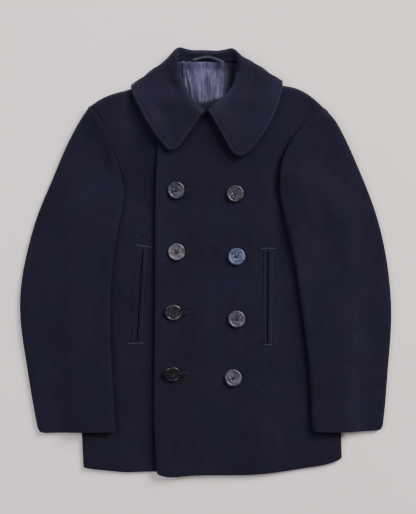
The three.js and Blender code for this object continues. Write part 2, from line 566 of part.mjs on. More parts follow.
// Where the fall is, a distance past the roll: level on the coat, round the fold line, or level under the back
function fallPoint(c, distance) {
  const out = direction(c.out);
  const facing = direction(c.facing);
  const alongFold = direction(c.facing + 90);
  const halfHeight = (c.top - BACK_FALL_Z) / 2;
  const radius = Math.min(halfHeight, c.fold);
  const halfTurn = (Math.PI / 4) * (radius + halfHeight);
  const towardsFold = out.dot(facing);
  const start = -(c.fold - radius) - halfTurn;
  const turned = start + distance * towardsFold;
  const angle = clamp(turned / halfTurn, -1, 1) * (Math.PI / 2);
  const fromFold = radius * (1 - Math.cos(angle)) + Math.max(Math.abs(turned) - halfTurn, 0);
  const p = new THREE.Vector2(c.rollX, c.rollY)
    .addScaledVector(alongFold, distance * out.dot(alongFold))
    .addScaledVector(facing, c.fold - fromFold);
  const level = towardsFold > 0.05 ? (c.fold - radius) / towardsFold : Infinity;
  const settle = clamp(level + 4, 6, 35);
  const top = lerp(lieOnCoat(p.x, p.y), c.top, c.wrap);
  const fromRoll = (c.rollZ + c.rise - top) * (1 - smoothstep(distance, 3, settle));
  const intoRoll = c.rise * (1 - smoothstep(distance, 0, 3.5));
  const z = turned <= -halfTurn ? top : lerp(BACK_FALL_Z + halfHeight, turned < 0 ? top : BACK_FALL_Z,
    Math.abs(Math.sin(angle)));
  return new THREE.Vector3(p.x, p.y, turned <= 0 ? z + fromRoll - intoRoll : z);
}

// Unit normals of a grid of points, all on the side that "towards" names at the grid's middle
function gridNormals(grid, towards) {
  const rows = grid.length;
  const columns = grid[0].length;
  const normals = grid.map((row, i) =>
    row.map((_, j) => {
      const along = grid[Math.min(i + 1, rows - 1)][j].clone().sub(grid[Math.max(i - 1, 0)][j]);
      const across = row[Math.min(j + 1, columns - 1)].clone().sub(row[Math.max(j - 1, 0)]);
      return across.cross(along).normalize();
    }),
  );
  const middle = normals[Math.floor(rows / 2)][Math.floor(columns / 2)];
  if (middle.dot(towards) < 0) for (const row of normals) for (const n of row) n.negate();
  return normals;
}

function collar() {
  const rows = [...COLLAR.right, ...backwards(COLLAR.left)];
  const COLUMNS = 44;
  const STAND = [0, 0.4, 0.78];
  const FALL = [0, 0.023, 0.06, 0.13, 0.2, 0.28, 0.36, 0.44, 0.52, 0.6, 0.68, 0.76, 0.84, 0.92, 1];
  const column = (name) => COLLAR_COLUMNS.indexOf(name);
  const valueAt = (name, t) => {
    const k = Math.min(Math.floor(t), rows.length - 2);
    const [p0, p1, p2, p3] = [k - 1, k, k + 1, k + 2]
      .map((i) => rows[clamp(i, 0, rows.length - 1)][column(name)]);
    const f = t - k;
    return 0.5 * (2 * p1 + (p2 - p0) * f + (2 * p0 - 5 * p1 + 4 * p2 - p3) * f * f +
      (3 * p1 - p0 - 3 * p2 + p3) * f ** 3);
  };
  const middle = [];
  for (let i = 0; i <= COLUMNS; i++) {
    const t = (i / COLUMNS) * (rows.length - 1);
    const c = Object.fromEntries(COLLAR_COLUMNS.map((name) => [name, valueAt(name, t)]));
    c.neckZ = Math.max(c.neckZ, lerp(lieOnCoat(c.neckX, c.neckY), c.neckZ, smoothstep(c.neckY, 349, 359)));
    c.rollZ = Math.max(c.rollZ, lerp(c.neckZ + 2.6, c.rollZ, smoothstep(c.neckY, 349, 359)));
    const neck = new THREE.Vector3(c.neckX, c.neckY, c.neckZ);
    const roll = new THREE.Vector3(c.rollX, c.rollY, c.rollZ);
    const stand = STAND.map((f) => neck.clone().lerp(roll, f).setZ(lerp(c.neckZ, c.rollZ, f ** 1.9)));
    middle.push([...stand, ...FALL.map((f) => fallPoint(c, f * c.fall))]);
  }
  const normals = gridNormals(middle, UP);
  const offset = (sign) => middle.map((row, i) =>
    row.map((p, j) => p.clone().addScaledVector(normals[i][j], (sign * COLLAR_CLOTH) / 2)));
  return closedWall(offset(1), offset(-1));
}

// The lining where it shows in the neck, loose and pleated, lying on the back
const LINING_Y = { bottom: 264, top: 359 };
function lining() {
  const plan = (u, v) => {
    const y = lerp(LINING_Y.bottom, LINING_Y.top - 3 * u, v);
    return { x: lerp(lerp(-44, -50, v), lerp(43, 58.5, v), u), y };
  };
  const height = (x, y) => {
    const v = (y - LINING_Y.bottom) / (LINING_Y.top - LINING_Y.bottom);
    let z = backBottom(x, y) + CLOTH + 1.6 * REST + LINING;
    for (const p of PLEATS) z += p.high * Math.exp(-(((x - lerp(p.bottom, p.top, v)) / p.wide) ** 2));
    return z;
  };
  return clothWall({
    across: steps([36]), along: steps([4]), plan, height, thickness: LINING, facing: UP,
  });
}

// The hanging loop sewn across the back of the neck
function hanger() {
  const [[x0, y0], [x1, y1]] = HANGER.ends;
  const bow = (x) => Math.sin(Math.PI * clamp((x - x0) / (x1 - x0), 0, 1)) ** 1.4;
  const plan = (u, v) => {
    const x = lerp(x0, x1, u);
    return { x, y: lerp(y0, y1, u) + HANGER.bow * bow(x) + HANGER.width * (v - 0.5) };
  };
  const height = (x) => HANGER.height + HANGER.lift * bow(x);
  return clothWall({
    across: steps([12]), along: steps([1]), plan, height, thickness: HANGER.thick, facing: UP,
  });
}

// Pocket mouths
function pocketFrame({ top, bottom }) {
  const t = new THREE.Vector2(...top);
  const b = new THREE.Vector2(...bottom);
  const along = t.clone().sub(b).normalize();
  const across = new THREE.Vector2(along.y, -along.x);
  const length = t.distanceTo(b);
  const at = (a, s) => b.clone().addScaledVector(along, a).addScaledVector(across, s);
  return { length, at };
}
function cutSlit(geometry, pocket) {
  const { length, at } = pocketFrame(pocket);
  const half = WELT.slit / 2;
  const outline = [at(3, -half), at(3, half), at(length - 3, half), at(length - 3, -half)];
  return toGeometry(toSolid(geometry).subtract(toSolid(prism(outline.map((p) => [p.x, p.y]), -5, 40))));
}
function welt(pocket, sign, width) {
  const { length, at } = pocketFrame(pocket);
  const half = WELT.slit / 2;
  const plan = (u, v) => at(v * length, sign * lerp(half, half + width, u));
  const height = (x, y) => topOf[pocket.side](x, y) + 2 * SEAM + WELT.thick;
  return clothWall({
    across: steps([2]), along: steps([9]), plan, height, thickness: WELT.thick, facing: UP,
  });
}

// A four-hole button with a raised rim and a dished face, its back at Z = 0
function buttonGeometry() {
  const r = BUTTON.diameter / 2;
  const t = BUTTON.thick;
  const profile = [[0, 0], [r * 0.62, 0], [r - 1.2, 1.2], [r, 2.4], [r - 0.9, t], [r - BUTTON.rim, t - 0.2],
    [r - BUTTON.rim - 1.4, t - BUTTON.dish], [0, t - BUTTON.dish - 0.3]];
  const lathe = new THREE.LatheGeometry(profile.map(([x, y]) => new THREE.Vector2(x, y)), 20);
  lathe.rotateX(Math.PI / 2);
  const index = [];
  const position = lathe.getAttribute("position");
  const key = (i) =>
    [position.getX(i), position.getY(i), position.getZ(i)].map((c) => Math.round(c * 1e4)).join();
  const first = new Map();
  const points = [];
  const mapped = [];
  for (let i = 0; i < position.count; i++) {
    if (!first.has(key(i))) {
      first.set(key(i), points.length);
      points.push(new THREE.Vector3().fromBufferAttribute(position, i));
    }
    mapped.push(first.get(key(i)));
  }
  const old = lathe.getIndex().array;
  for (let i = 0; i < old.length; i += 3) {
    const [a, b, c] = [mapped[old[i]], mapped[old[i + 1]], mapped[old[i + 2]]];
    if (a !== b && b !== c && c !== a) index.push(a, b, c);
  }
  const merged = new THREE.BufferGeometry().setFromPoints(points);
  merged.setIndex(index);
  let solid = toSolid(merged);
  if (solid.volume() < 0) {
    merged.setIndex(index.reverse());
    solid = toSolid(merged);
  }
  for (let k = 0; k < 4; k++) {
    const angle = degToRad(45 + 90 * k);
    const [cx, cy] = [BUTTON.holeRing * Math.cos(angle), BUTTON.holeRing * Math.sin(angle)];
    const outline = Array.from({ length: 6 }, (_, i) => {
      const a = degToRad(60 * i);
      return [cx + BUTTON.holeRadius * Math.cos(a), cy + BUTTON.holeRadius * Math.sin(a)];
    });
    solid = solid.subtract(toSolid(prism(outline, -2, t + 2)));
  }
  return toGeometry(solid);
}

// Materials and assembly
const material = (color, roughness, metalness = 0) =>
  new THREE.MeshStandardMaterial({ color, roughness, metalness });
const WOOL = material(0x14161f, 0.95);
const LINING_SATIN = material(0x6a6480, 0.4);
const HANGER_SATIN = material(0x3a3a4c, 0.45);
const BUTTON_RESIN = material(0x17161a, 0.3);

const coat = new THREE.Group();
function add(name, geometry, finish, parent = coat) {
  const mesh = new THREE.Mesh(geometry, finish);
  mesh.name = name;
  parent.add(mesh);
  return mesh;
}

add("back", back(), WOOL);
const rightFront = front("right", rightFrontPlan, 13);
const leftFront = front("left", leftFrontPlan, 14);
add("right_front", cutSlit(rightFront, POCKETS[0]), WOOL);
add("left_front", cutSlit(leftFront, POCKETS[1]), WOOL);
for (const side of ["right", "left"]) {
  add(`${side}_under_sleeve`, underSleeve(side), WOOL);
  add(`${side}_upper_sleeve`, upperSleeve(side), WOOL);
}
add("collar", collar(), WOOL);
add("neck_lining", lining(), LINING_SATIN);
add("hanger_loop", hanger(), HANGER_SATIN);
for (const pocket of POCKETS) {
  const towardsFront = pocket.side === "right" ? 1 : -1;
  add(`${pocket.side}_pocket_front_welt`, welt(pocket, towardsFront, WELT.inner), WOOL);
  add(`${pocket.side}_pocket_side_welt`, welt(pocket, -towardsFront, WELT.outer), WOOL);
}

const buttonShape = buttonGeometry();
for (const { name, x, y, lean } of BUTTONS) {
  const button = add(name, buttonShape, BUTTON_RESIN);
  button.position.set(x, y, 0);
  button.rotation.x = degToRad(lean);
  button.updateMatrix();
  const corners = buttonShape.getAttribute("position");
  const point = new THREE.Vector3();
  for (let i = 0; i < corners.count; i++) {
    point.fromBufferAttribute(corners, i).applyMatrix4(button.matrix);
    const needed = leftFrontTop(point.x, point.y) + BUTTON_SEAT - (point.z - button.position.z);
    button.position.z = Math.max(button.position.z, needed);
    button.updateMatrix();
  }
}

export default coat;
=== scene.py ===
from math import cos, pi, radians, sin

import bmesh
import bpy
import numpy as np
from mathutils import Euler, Matrix, Vector
from mathutils.bvhtree import BVHTree
from mathutils.kdtree import KDTree


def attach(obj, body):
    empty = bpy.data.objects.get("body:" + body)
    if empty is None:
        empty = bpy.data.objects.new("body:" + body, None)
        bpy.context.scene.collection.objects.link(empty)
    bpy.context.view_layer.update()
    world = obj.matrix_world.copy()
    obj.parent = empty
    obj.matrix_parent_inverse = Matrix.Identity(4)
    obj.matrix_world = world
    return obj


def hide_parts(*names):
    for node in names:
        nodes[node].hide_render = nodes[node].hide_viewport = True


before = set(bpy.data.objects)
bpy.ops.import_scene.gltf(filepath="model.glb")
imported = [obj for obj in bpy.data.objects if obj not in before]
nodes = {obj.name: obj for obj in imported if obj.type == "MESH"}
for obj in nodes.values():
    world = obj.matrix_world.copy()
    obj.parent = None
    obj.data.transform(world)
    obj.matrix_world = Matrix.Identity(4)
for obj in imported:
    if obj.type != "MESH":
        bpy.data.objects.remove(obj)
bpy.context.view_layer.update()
MM = 0.001

# ---- Sizes, in millimetres ----

# The camera looks straight down on the middle of the picture
CAMERA = {"x": 4.5, "y": 10.4, "above_coat": 2000, "coat_level": 11, "picture_height": 925}

# Soft creases: middle, length, width, height (below 0 a trough), turn from upright and sideways bow.
# "steep" above 0 makes the right flank the steeper one, below 0 the left.
SLEEVE_CREASES = [
    {"x": -180, "y": 186, "long": 150, "wide": 13, "high": -2.8, "turn": 0, "bow": -19, "steep": 0.0},
    {"x": -198, "y": 262, "long": 46, "wide": 6, "high": 1.0, "turn": 24, "bow": 0, "steep": 0.0},
    {"x": -214, "y": 196, "long": 120, "wide": 13, "high": -1.1, "turn": -38, "bow": 10, "steep": 0.3},
    {"x": -196, "y": 128, "long": 130, "wide": 15, "high": 1.5, "turn": -24, "bow": -8, "steep": 0.4},
    {"x": -222, "y": 74, "long": 150, "wide": 16, "high": -1.2, "turn": -12, "bow": 12, "steep": -0.3},
    {"x": -252, "y": 8, "long": 190, "wide": 20, "high": 1.6, "turn": 9, "bow": 9, "steep": 0.3},
    {"x": -290, "y": -20, "long": 170, "wide": 13, "high": -1.0, "turn": 4, "bow": -6, "steep": 0.2},
    {"x": -205, "y": -40, "long": 200, "wide": 15, "high": -1.1, "turn": -4, "bow": 5, "steep": 0.3},
    {"x": -262, "y": -150, "long": 170, "wide": 17, "high": 1.2, "turn": -3, "bow": -9, "steep": -0.2},
    {"x": -200, "y": -205, "long": 120, "wide": 12, "high": -0.7, "turn": 7, "bow": 3, "steep": 0.2},
    {"x": -232, "y": -262, "long": 64, "wide": 30, "high": 0.6, "turn": 84, "bow": 2, "steep": 0.0},
    {"x": 236, "y": 186, "long": 130, "wide": 16, "high": 1.2, "turn": 40, "bow": -10, "steep": -0.3},
    {"x": 178, "y": 120, "long": 150, "wide": 13, "high": 1.2, "turn": 14, "bow": 8, "steep": -0.4},
    {"x": 214, "y": 66, "long": 170, "wide": 17, "high": -1.2, "turn": 11, "bow": -9, "steep": 0.3},
    {"x": 262, "y": 40, "long": 200, "wide": 19, "high": 1.3, "turn": 6, "bow": 8, "steep": -0.2},
    {"x": 300, "y": -50, "long": 170, "wide": 13, "high": -0.9, "turn": -4, "bow": 6, "steep": 0.2},
    {"x": 206, "y": -60, "long": 190, "wide": 14, "high": 1.0, "turn": 8, "bow": 5, "steep": -0.4},
    {"x": 250, "y": -130, "long": 170, "wide": 18, "high": -1.0, "turn": -5, "bow": 7, "steep": 0.1},
    {"x": 290, "y": -215, "long": 130, "wide": 13, "high": 0.8, "turn": 3, "bow": -3, "steep": 0.2},
    {"x": 255, "y": -262, "long": 70, "wide": 28, "high": 0.5, "turn": 92, "bow": 2, "steep": 0.0},
]
FRONT_CREASES = [
    {"x": 168, "y": 262, "long": 76, "wide": 11, "high": -2.2, "turn": -27, "bow": 0, "steep": 0.2},
    {"x": -128, "y": 240, "long": 90, "wide": 13, "high": -1.8, "turn": 25, "bow": 0, "steep": 0.2},
    {"x": -134, "y": 214, "long": 120, "wide": 15, "high": 1.0, "turn": -42, "bow": 8, "steep": 0.3},
    {"x": -116, "y": 150, "long": 110, "wide": 13, "high": -0.8, "turn": -20, "bow": -8, "steep": 0.3},
    {"x": -134, "y": 76, "long": 140, "wide": 14, "high": 0.8, "turn": 10, "bow": 6, "steep": 0.2},
    {"x": -104, "y": -196, "long": 130, "wide": 16, "high": 0.7, "turn": -8, "bow": 4, "steep": 0.2},
    {"x": -150, "y": -250, "long": 130, "wide": 20, "high": -0.9, "turn": 6, "bow": 5, "steep": 0.2},
    {"x": -10, "y": 150, "long": 120, "wide": 16, "high": 0.8, "turn": 74, "bow": 10, "steep": 0.3},
    {"x": 2, "y": 66, "long": 96, "wide": 15, "high": 0.7, "turn": 96, "bow": -9, "steep": 0.3},
    {"x": -6, "y": -48, "long": 96, "wide": 18, "high": -0.6, "turn": 82, "bow": 8, "steep": 0.2},
    {"x": 4, "y": -150, "long": 100, "wide": 18, "high": 0.6, "turn": 99, "bow": 7, "steep": 0.2},
    {"x": 96, "y": 176, "long": 150, "wide": 15, "high": 1.0, "turn": 24, "bow": -10, "steep": -0.3},
    {"x": 130, "y": 92, "long": 130, "wide": 14, "high": -0.8, "turn": 5, "bow": 9, "steep": -0.3},
    {"x": 84, "y": -70, "long": 170, "wide": 15, "high": 0.7, "turn": 3, "bow": 4, "steep": -0.2},
    {"x": 150, "y": -180, "long": 170, "wide": 17, "high": -0.9, "turn": 7, "bow": -5, "steep": -0.2},
    {"x": 96, "y": -285, "long": 150, "wide": 22, "high": 0.9, "turn": -10, "bow": 6, "steep": 0.2},
    {"x": -40, "y": -320, "long": 120, "wide": 22, "high": -0.8, "turn": 12, "bow": 5, "steep": 0.2},
]
# Broad swells that all the layers in a place share, in the same terms as the creases: the fronts
# swell up under the edge of the overlap, beside the sleeves and towards the neck
SWELLS = [
    {"x": -94, "y": 10, "long": 560, "wide": 22, "high": 3.4, "turn": -1.1, "bow": 0, "steep": 0.0},
    {"x": 166, "y": 30, "long": 380, "wide": 32, "high": 5.0, "turn": 0, "bow": 0, "steep": -0.3},
    {"x": -170, "y": 30, "long": 380, "wide": 22, "high": 1.6, "turn": 0, "bow": 0, "steep": 0.0},
    {"x": 4, "y": 268, "long": 120, "wide": 48, "high": 8.5, "turn": 90, "bow": 0, "steep": 0.0},
    {"x": -148, "y": 258, "long": 130, "wide": 26, "high": 3.4, "turn": -32, "bow": 0, "steep": 0.0},
]
COLLAR_CREASES = [
    {"x": -50, "y": 306, "long": 54, "wide": 9, "high": -2.6, "turn": 42, "bow": 3, "steep": -0.2},
    {"x": -62, "y": 282, "long": 60, "wide": 14, "high": 1.0, "turn": 48, "bow": 5, "steep": 0.2},
    {"x": -104, "y": 262, "long": 80, "wide": 20, "high": 0.8, "turn": 22, "bow": 6, "steep": 0.2},
    {"x": 60, "y": 262, "long": 90, "wide": 18, "high": 0.8, "turn": -24, "bow": -6, "steep": -0.2},
    {"x": 102, "y": 286, "long": 90, "wide": 18, "high": -0.7, "turn": -10, "bow": -6, "steep": 0.2},
]
# Small wrinkles of the loose satin: where each stands at its top and bottom, and its size
SATIN_WRINKLES = [
    {"top": -37, "bottom": -20, "wide": 3.2, "high": 0.9, "sway": 1.5},
    {"top": -32, "bottom": -17, "wide": 2.6, "high": -1.0, "sway": 2.4},
    {"top": -27, "bottom": -15, "wide": 2.0, "high": 0.5, "sway": 1.8},
    {"top": -21, "bottom": -7, "wide": 2.1, "high": -0.6, "sway": 2.6},
    {"top": -15, "bottom": -8, "wide": 2.8, "high": 0.5, "sway": 1.2},
    {"top": -8, "bottom": 0, "wide": 1.2, "high": -0.6, "sway": 2.0},
    {"top": -1, "bottom": -2, "wide": 1.3, "high": 0.5, "sway": 1.4},
    {"top": 5, "bottom": 4, "wide": 1.8, "high": -0.6, "sway": 1.9},
    {"top": 16, "bottom": 8, "wide": 2.8, "high": 0.6, "sway": 2.2},
    {"top": 24, "bottom": 20, "wide": 1.6, "high": -0.5, "sway": 1.6},
    {"top": 33, "bottom": 22, "wide": 1.9, "high": -0.7, "sway": 2.0},
    {"top": 40, "bottom": 32, "wide": 2.2, "high": 0.6, "sway": 1.0},
]

# The satin, from its lowest point up. Its top edge rises and moves up to the collar, where it is sewn in.
LINING = {"bottom": 264, "long": 95, "rise": 3.7, "shift": 3.6}
# Its deep fold, where shade is painted in, and the edge of the dark facing beside the collar, where the
# collar's shade is painted in with it, each as height and place across, and the edge of the dark facing low
# down, as a sloping line through a point
LINING_FOLD = [(264, -20.5), (302, -27), (356, -36.5)]
FACING_BESIDE = [(264, 30), (290, 38), (318, 41), (340, 41), (358, 36)]
FACING_BELOW = {"x": -16.4, "y": 287.6, "slope": 0.225}

# Rows of stitches, as points in plan. "pitch" is from one stitch to the next.
STITCH = {"long": 2.7, "pitch": 3.7, "thick": 0.5, "sink": 0.12}
POCKET_STITCH = {"pitch": 3.1, "sink": 0.05}
NO_STITCH = 20.0  # this far from a row of stitches, it no longer counts
COLLAR_STITCH_FROM_EDGE = 5.5
CUFF_ROWS_APART = 7.0
CUFF_STITCHES = {
    "right": [
        [(-330, -232.4), (-310.5, -232.6), (-284, -229), (-256.5, -225.4), (-213.5, -222.6), (-166, -221.2)],
        [(-330, -225.4), (-310.5, -225.6), (-284, -222), (-256.5, -218.4), (-213.5, -215.6), (-166, -214.2)],
    ],
    "left": [
        [(186, -218.4), (220, -219.4), (262, -220.2), (300, -220), (331, -218.4)],
        [(186, -225.4), (220, -226.4), (262, -227.2), (300, -227), (331, -225.4)],
    ],
}
POCKETS = {
    "right": {
        "stitches": [[(-120.4, 24.8), (-124.3, -20.2), (-128.1, -77.8), (-130.0, -141)],
                     [(-107.3, 24.8), (-111.7, -58), (-114.8, -141)]],
        "bars": [[(-125.6, 32.4), (-96.7, 27.9)], [(-139.5, -145.1), (-110.7, -144.4)]],
    },
    "left": {
        "stitches": [[(107.0, 21.2), (105.3, -60), (104.3, -144)],
                     [(120.2, 21.2), (119.6, -60), (118.4, -144)]],
        "bars": [[(99.9, 25.6), (127.6, 25.6)], [(105.8, -147.2), (119.7, -147.2)]],
    },
}
BAR_TACK = {"wide": 2.4, "pitch": 0.62}
# The soft corners of the cuffs: each corner in plan, a point up its one edge and one along the other
CUFF_CORNERS = {
    "right": [
        [(-301.5, -307), (-307, -282), (-262, -306)],
        [(-161.5, -304.5), (-165.5, -252), (-190, -305)],
    ],
    "left": [
        [(319.5, -302), (322.5, -282), (281, -303.6)],
        [(193.5, -303.7), (190.5, -290), (244, -305)],
    ],
}
CORNER_REACH = 12
CORNER_PULL = 0.2  # how far the tip of a corner is drawn in, as a share of that reach
# The uneven top edge of the collar: where it lies higher or lower, how widely and how far
COLLAR_TOP = [
    {"x": -47, "wide": 14, "high": 5.0},
    {"x": -3, "wide": 26, "high": 3.2},
    {"x": 46, "wide": 11, "high": 3.0},
    {"x": 68, "wide": 14, "high": -5.5},
]

# Buttons: plan position, lean on the thread and turn of the holes
BUTTON = {"radius": 15.3, "thick": 4.2, "hole": 1.25, "hole_ring": 3.2, "clear": 0.35}
BUTTONS = [
    {"node": "button_fastening_1", "x": -52.2, "y": 130.1, "lean": 3, "turn": 12, "finish": "steel"},
    {"node": "button_fastening_2", "x": -51.8, "y": 19.6, "lean": 4, "turn": 3, "finish": "pale"},
    {"node": "button_fastening_3", "x": -57.6, "y": -88.7, "lean": 18, "turn": 31, "finish": "soot"},
    {"node": "button_fastening_4", "x": -58.5, "y": -198.9, "lean": 28, "turn": 24, "finish": "black"},
    {"node": "button_outer_1", "x": 53.8, "y": 124.2, "lean": 2, "turn": 20, "finish": "brown"},
    {"node": "button_outer_2", "x": 56, "y": 11.2, "lean": -2, "turn": 5, "finish": "blue"},
    {"node": "button_outer_3", "x": 56.3, "y": -101.2, "lean": 2, "turn": -8, "finish": "plum"},
    {"node": "button_outer_4", "x": 50, "y": -207, "lean": -3, "turn": 14, "finish": "plum"},
]
BUTTONHOLE = {"long": 29, "wide": 2.6, "starts": -61.5, "bar": 1.9, "pitch": 0.8}

# The seam between each sleeve and the body where it shows, from the shoulder down, and the facing
# inside each pocket's mouth: lines in plan, with the width of the strip and its depth under the cloth
ARMHOLE_SEAMS = {
    "right": [(-206.5, 281), (-195, 269.6), (-184.2, 251), (-176.1, 226), (-166.2, 203), (-156.3, 179.6),
              (-150, 156.2), (-146.6, 136)],
    "left": [(216, 275), (203.4, 269.6), (190.4, 260.6), (175, 245.8), (161.6, 229.7), (148.1, 210),
             (139.1, 189.4), (134.6, 171.5), (133.7, 141)],
}
ARMHOLE_STRIP = {"wide": 6.0, "deep": 0.5}
POCKET_SLITS = {"right": [(-112.9, 26), (-123.6, -144)], "left": [(112.6, 23), (111.2, -147)]}
POCKET_STRIP = {"wide": 6.0, "deep": 0.8}
# The seams on the outer sides of each pocket's two lips
LIP_SEAMS = {
    "right": [[(-121.1, 25.5), (-125.1, -20.2), (-128.9, -77.8), (-130.7, -142)],
              [(-107.4, 25.5), (-111.4, -58), (-115.6, -142)]],
    "left": [[(107.2, 22), (105.6, -60), (104.6, -145)], [(118.8, 22), (117.6, -60), (116.4, -145)]],
}
LIP_STRIP = {"wide": 5.0, "deep": 0.0}
WELT_SINK = 1.4
# Where the collar is sewn to the coat, from the middle of the back to the front on each side
NECK_SEAM = [
    (-9, 260), (-25, 275), (-37, 290), (-47, 309), (-55, 331), (-58, 347), (-53, 359.5), (-35, 361), (0, 359),
    (39, 361), (59.5, 360), (65.5, 347), (63, 331), (54, 308), (42, 290), (28, 274), (11, 258),
]

# Where the collar folds over, from the front on the right to the front on the left
COLLAR_FOLD = [
    (-8, 268), (-25, 287), (-38, 310), (-46, 335), (-48, 358), (-30, 380), (0, 377), (32, 380),
    (53, 358), (54, 335), (44, 306), (28, 283), (11, 266),
]

# How far cloth is raised, or sunk, towards a line, from how wide a band, and what lies too low to move:
# the edge of the overlap, the left front at its armhole, the sleeves at theirs and the collar's leaves
OVERLAP_LIFT = {"high": 3.6, "wide": 40}
ARMHOLE_SINK = {"high": -3.0, "wide": 30, "keep": 7}
SLEEVE_LIFT = {"right": {"high": 3.4, "wide": 30}, "left": {"high": 4.2, "wide": 34, "keep": 3}}
SLEEVE_LIFT_ALONG = {"right": slice(1, 6), "left": slice(2, None)}  # the points of the armhole seam
LEAF_LIFT = {"high": 6.5, "wide": 48}

# ---- Working in mesh ----


def add_piece(name, bm, material):
    """A new object from a bmesh, riding on the coat."""
    mesh = bpy.data.meshes.new(name)
    bm.to_mesh(mesh)
    bm.free()
    mesh.materials.append(material)
    mesh.polygons.foreach_set("use_smooth", [True] * len(mesh.polygons))
    piece = bpy.data.objects.new(name, mesh)
    bpy.context.scene.collection.objects.link(piece)
    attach(piece, "root")
    return piece


def bake(piece):
    """Makes a piece's modifiers part of its mesh."""
    bpy.context.view_layer.update()
    depsgraph = bpy.context.evaluated_depsgraph_get()
    mesh = bpy.data.meshes.new_from_object(piece.evaluated_get(depsgraph))
    piece.modifiers.clear()
    piece.data = mesh
    mesh.polygons.foreach_set("use_smooth", [True] * len(mesh.polygons))


def points_of(piece):
    found = np.empty(len(piece.data.vertices) * 3, np.float32)
    piece.data.vertices.foreach_get("co", found)
    return found.reshape(-1, 3) / MM


def normals_of(piece):
    found = np.empty(len(piece.data.vertices) * 3, np.float32)
    piece.data.vertices.foreach_get("normal", found)
    return found.reshape(-1, 3)


def set_points(piece, points):
    piece.data.vertices.foreach_set("co", (points * MM).astype(np.float32).ravel())
    piece.data.update()


def set_attribute(piece, name, values):
    if name not in piece.data.attributes:
        piece.data.attributes.new(name, "FLOAT", "POINT")
    piece.data.attributes[name].data.foreach_set("value", values.astype(np.float32))


CUT_EDGE_ANGLE = radians(38)  # the solids' cut edges turn by more than this
SHARP_ANGLE = radians(52)  # once rounded, only edges that turn by more than this are shaded as sharp
WALL = 3.6  # no wall is thicker
ON_RIM = 0.99  # points above this in the "rim" layer lie on a cut edge


def cloth_copy(node, name, fineness, material):
    """A smooth fine copy of a node's wall, which keeps the line of its cut edges and rounds them."""
    bm = bmesh.new()
    bm.from_mesh(nodes[node].data)
    bmesh.ops.remove_doubles(bm, verts=bm.verts, dist=0.01 * MM)
    bmesh.ops.join_triangles(
        bm, faces=bm.faces, angle_face_threshold=radians(35), angle_shape_threshold=radians(60))
    crease = bm.edges.layers.float.new("crease_edge")
    rim = bm.verts.layers.float.new("rim")
    for edge in bm.edges:
        if edge.calc_face_angle(0) > CUT_EDGE_ANGLE:
            edge[crease] = 1
    for face in bm.faces:
        sharp = [edge for edge in face.edges if edge[crease]]
        narrow = min(edge.calc_length() for edge in face.edges) < WALL * MM
        if len(sharp) >= 2 and narrow and abs(face.normal.z) < 0.6:
            for vert in face.verts:
                vert[rim] = 1
    piece = add_piece(name, bm, material)
    subdivision = piece.modifiers.new("fine", "SUBSURF")
    subdivision.levels = subdivision.render_levels = fineness
    bake(piece)
    round_rims(piece)
    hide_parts(node)
    return piece


def round_rims(piece, passes=5):
    """Rounds the cut edges of a wall, and leaves its faces alone."""
    bm = bmesh.new()
    bm.from_mesh(piece.data)
    rim = bm.verts.layers.float["rim"]
    edge_verts = [vert for vert in bm.verts if vert[rim] > ON_RIM]
    for _ in range(passes):
        bmesh.ops.smooth_vert(
            bm, verts=edge_verts, factor=0.5, use_axis_x=True, use_axis_y=True, use_axis_z=True)
    bm.to_mesh(piece.data)
    bm.free()
    piece.data.set_sharp_from_angle(angle=SHARP_ANGLE)


def edge_distances(piece, wanted):
    """How far each point is from the wanted part of the piece's cut edge, in millimetres."""
    points = points_of(piece)
    rim = np.empty(len(points), np.float32)
    piece.data.attributes["rim"].data.foreach_get("value", rim)
    chosen = (rim > ON_RIM) & wanted(points)
    tree = KDTree(int(chosen.sum()))
    for i in np.flatnonzero(chosen):
        tree.insert(points[i], int(i))
    tree.balance()
    return np.array([tree.find(point)[2] for point in points])


# ---- Shaping the cloth ----


def smoothstep(value, low, high):
    share = np.clip((value - low) / (high - low), 0, 1)
    return share * share * (3 - 2 * share)


def crease_heights(points, creases):
    """What soft ridges and troughs add to the height of each point."""
    x, y = points[:, 0], points[:, 1]
    added = np.zeros(len(points))
    for crease in creases:
        turn = radians(crease["turn"])
        across = (x - crease["x"]) * cos(turn) + (y - crease["y"]) * sin(turn)
        along = (y - crease["y"]) * cos(turn) - (x - crease["x"]) * sin(turn)
        half = crease["long"] / 2
        across = across - crease["bow"] * (along / half) ** 2
        wide = crease["wide"] * (1 - crease["steep"] * np.tanh(across / crease["wide"]))
        fade = np.exp(-((along / half) ** 4)) * (1 + 0.25 * np.sin(along / half * 2.3 + crease["x"]))
        added += crease["high"] * np.exp(-((across / wide) ** 2)) * fade
    return added


WAVES = np.random.default_rng(7)
WAVE_ROWS = [
    (WAVES.uniform(0, pi), WAVES.uniform(46, 150), WAVES.uniform(0, 2 * pi)) for _ in range(14)]


def unevenness(points):
    """The slight waves of heavy cloth that was laid down and stroked flat."""
    x, y = points[:, 0], points[:, 1]
    added = np.zeros(len(points))
    for turn, length, start in WAVE_ROWS:
        along = x * cos(turn) + y * sin(turn)
        added += 0.0011 * length * np.sin(2 * pi * along / length + start)
    return added


def drape(piece, creases, waves=1.0, keep=4.0):
    """Moves a piece's points up or down with the creases, and leaves what lies lower than "keep"."""
    points = points_of(piece)
    lifted = smoothstep(points[:, 2], keep, keep + 5)
    swell = crease_heights(points, SWELLS) * (1 - 0.7 * smoothstep(points[:, 2], 14, 30))
    points[:, 2] += lifted * (crease_heights(points, creases) + swell + waves * unevenness(points))
    set_points(piece, points)


def distance_to_line(points, line):
    """How far each point is in plan from a line of points."""
    line = np.array(line, float)
    best = np.full(len(points), 1e9)
    for a, b in zip(line, line[1:]):
        run = b - a
        share = np.clip(((points[:, :2] - a) @ run) / (run @ run), 0, 1)
        best = np.minimum(best, np.linalg.norm(points[:, :2] - (a + share[:, None] * run), axis=1))
    return best


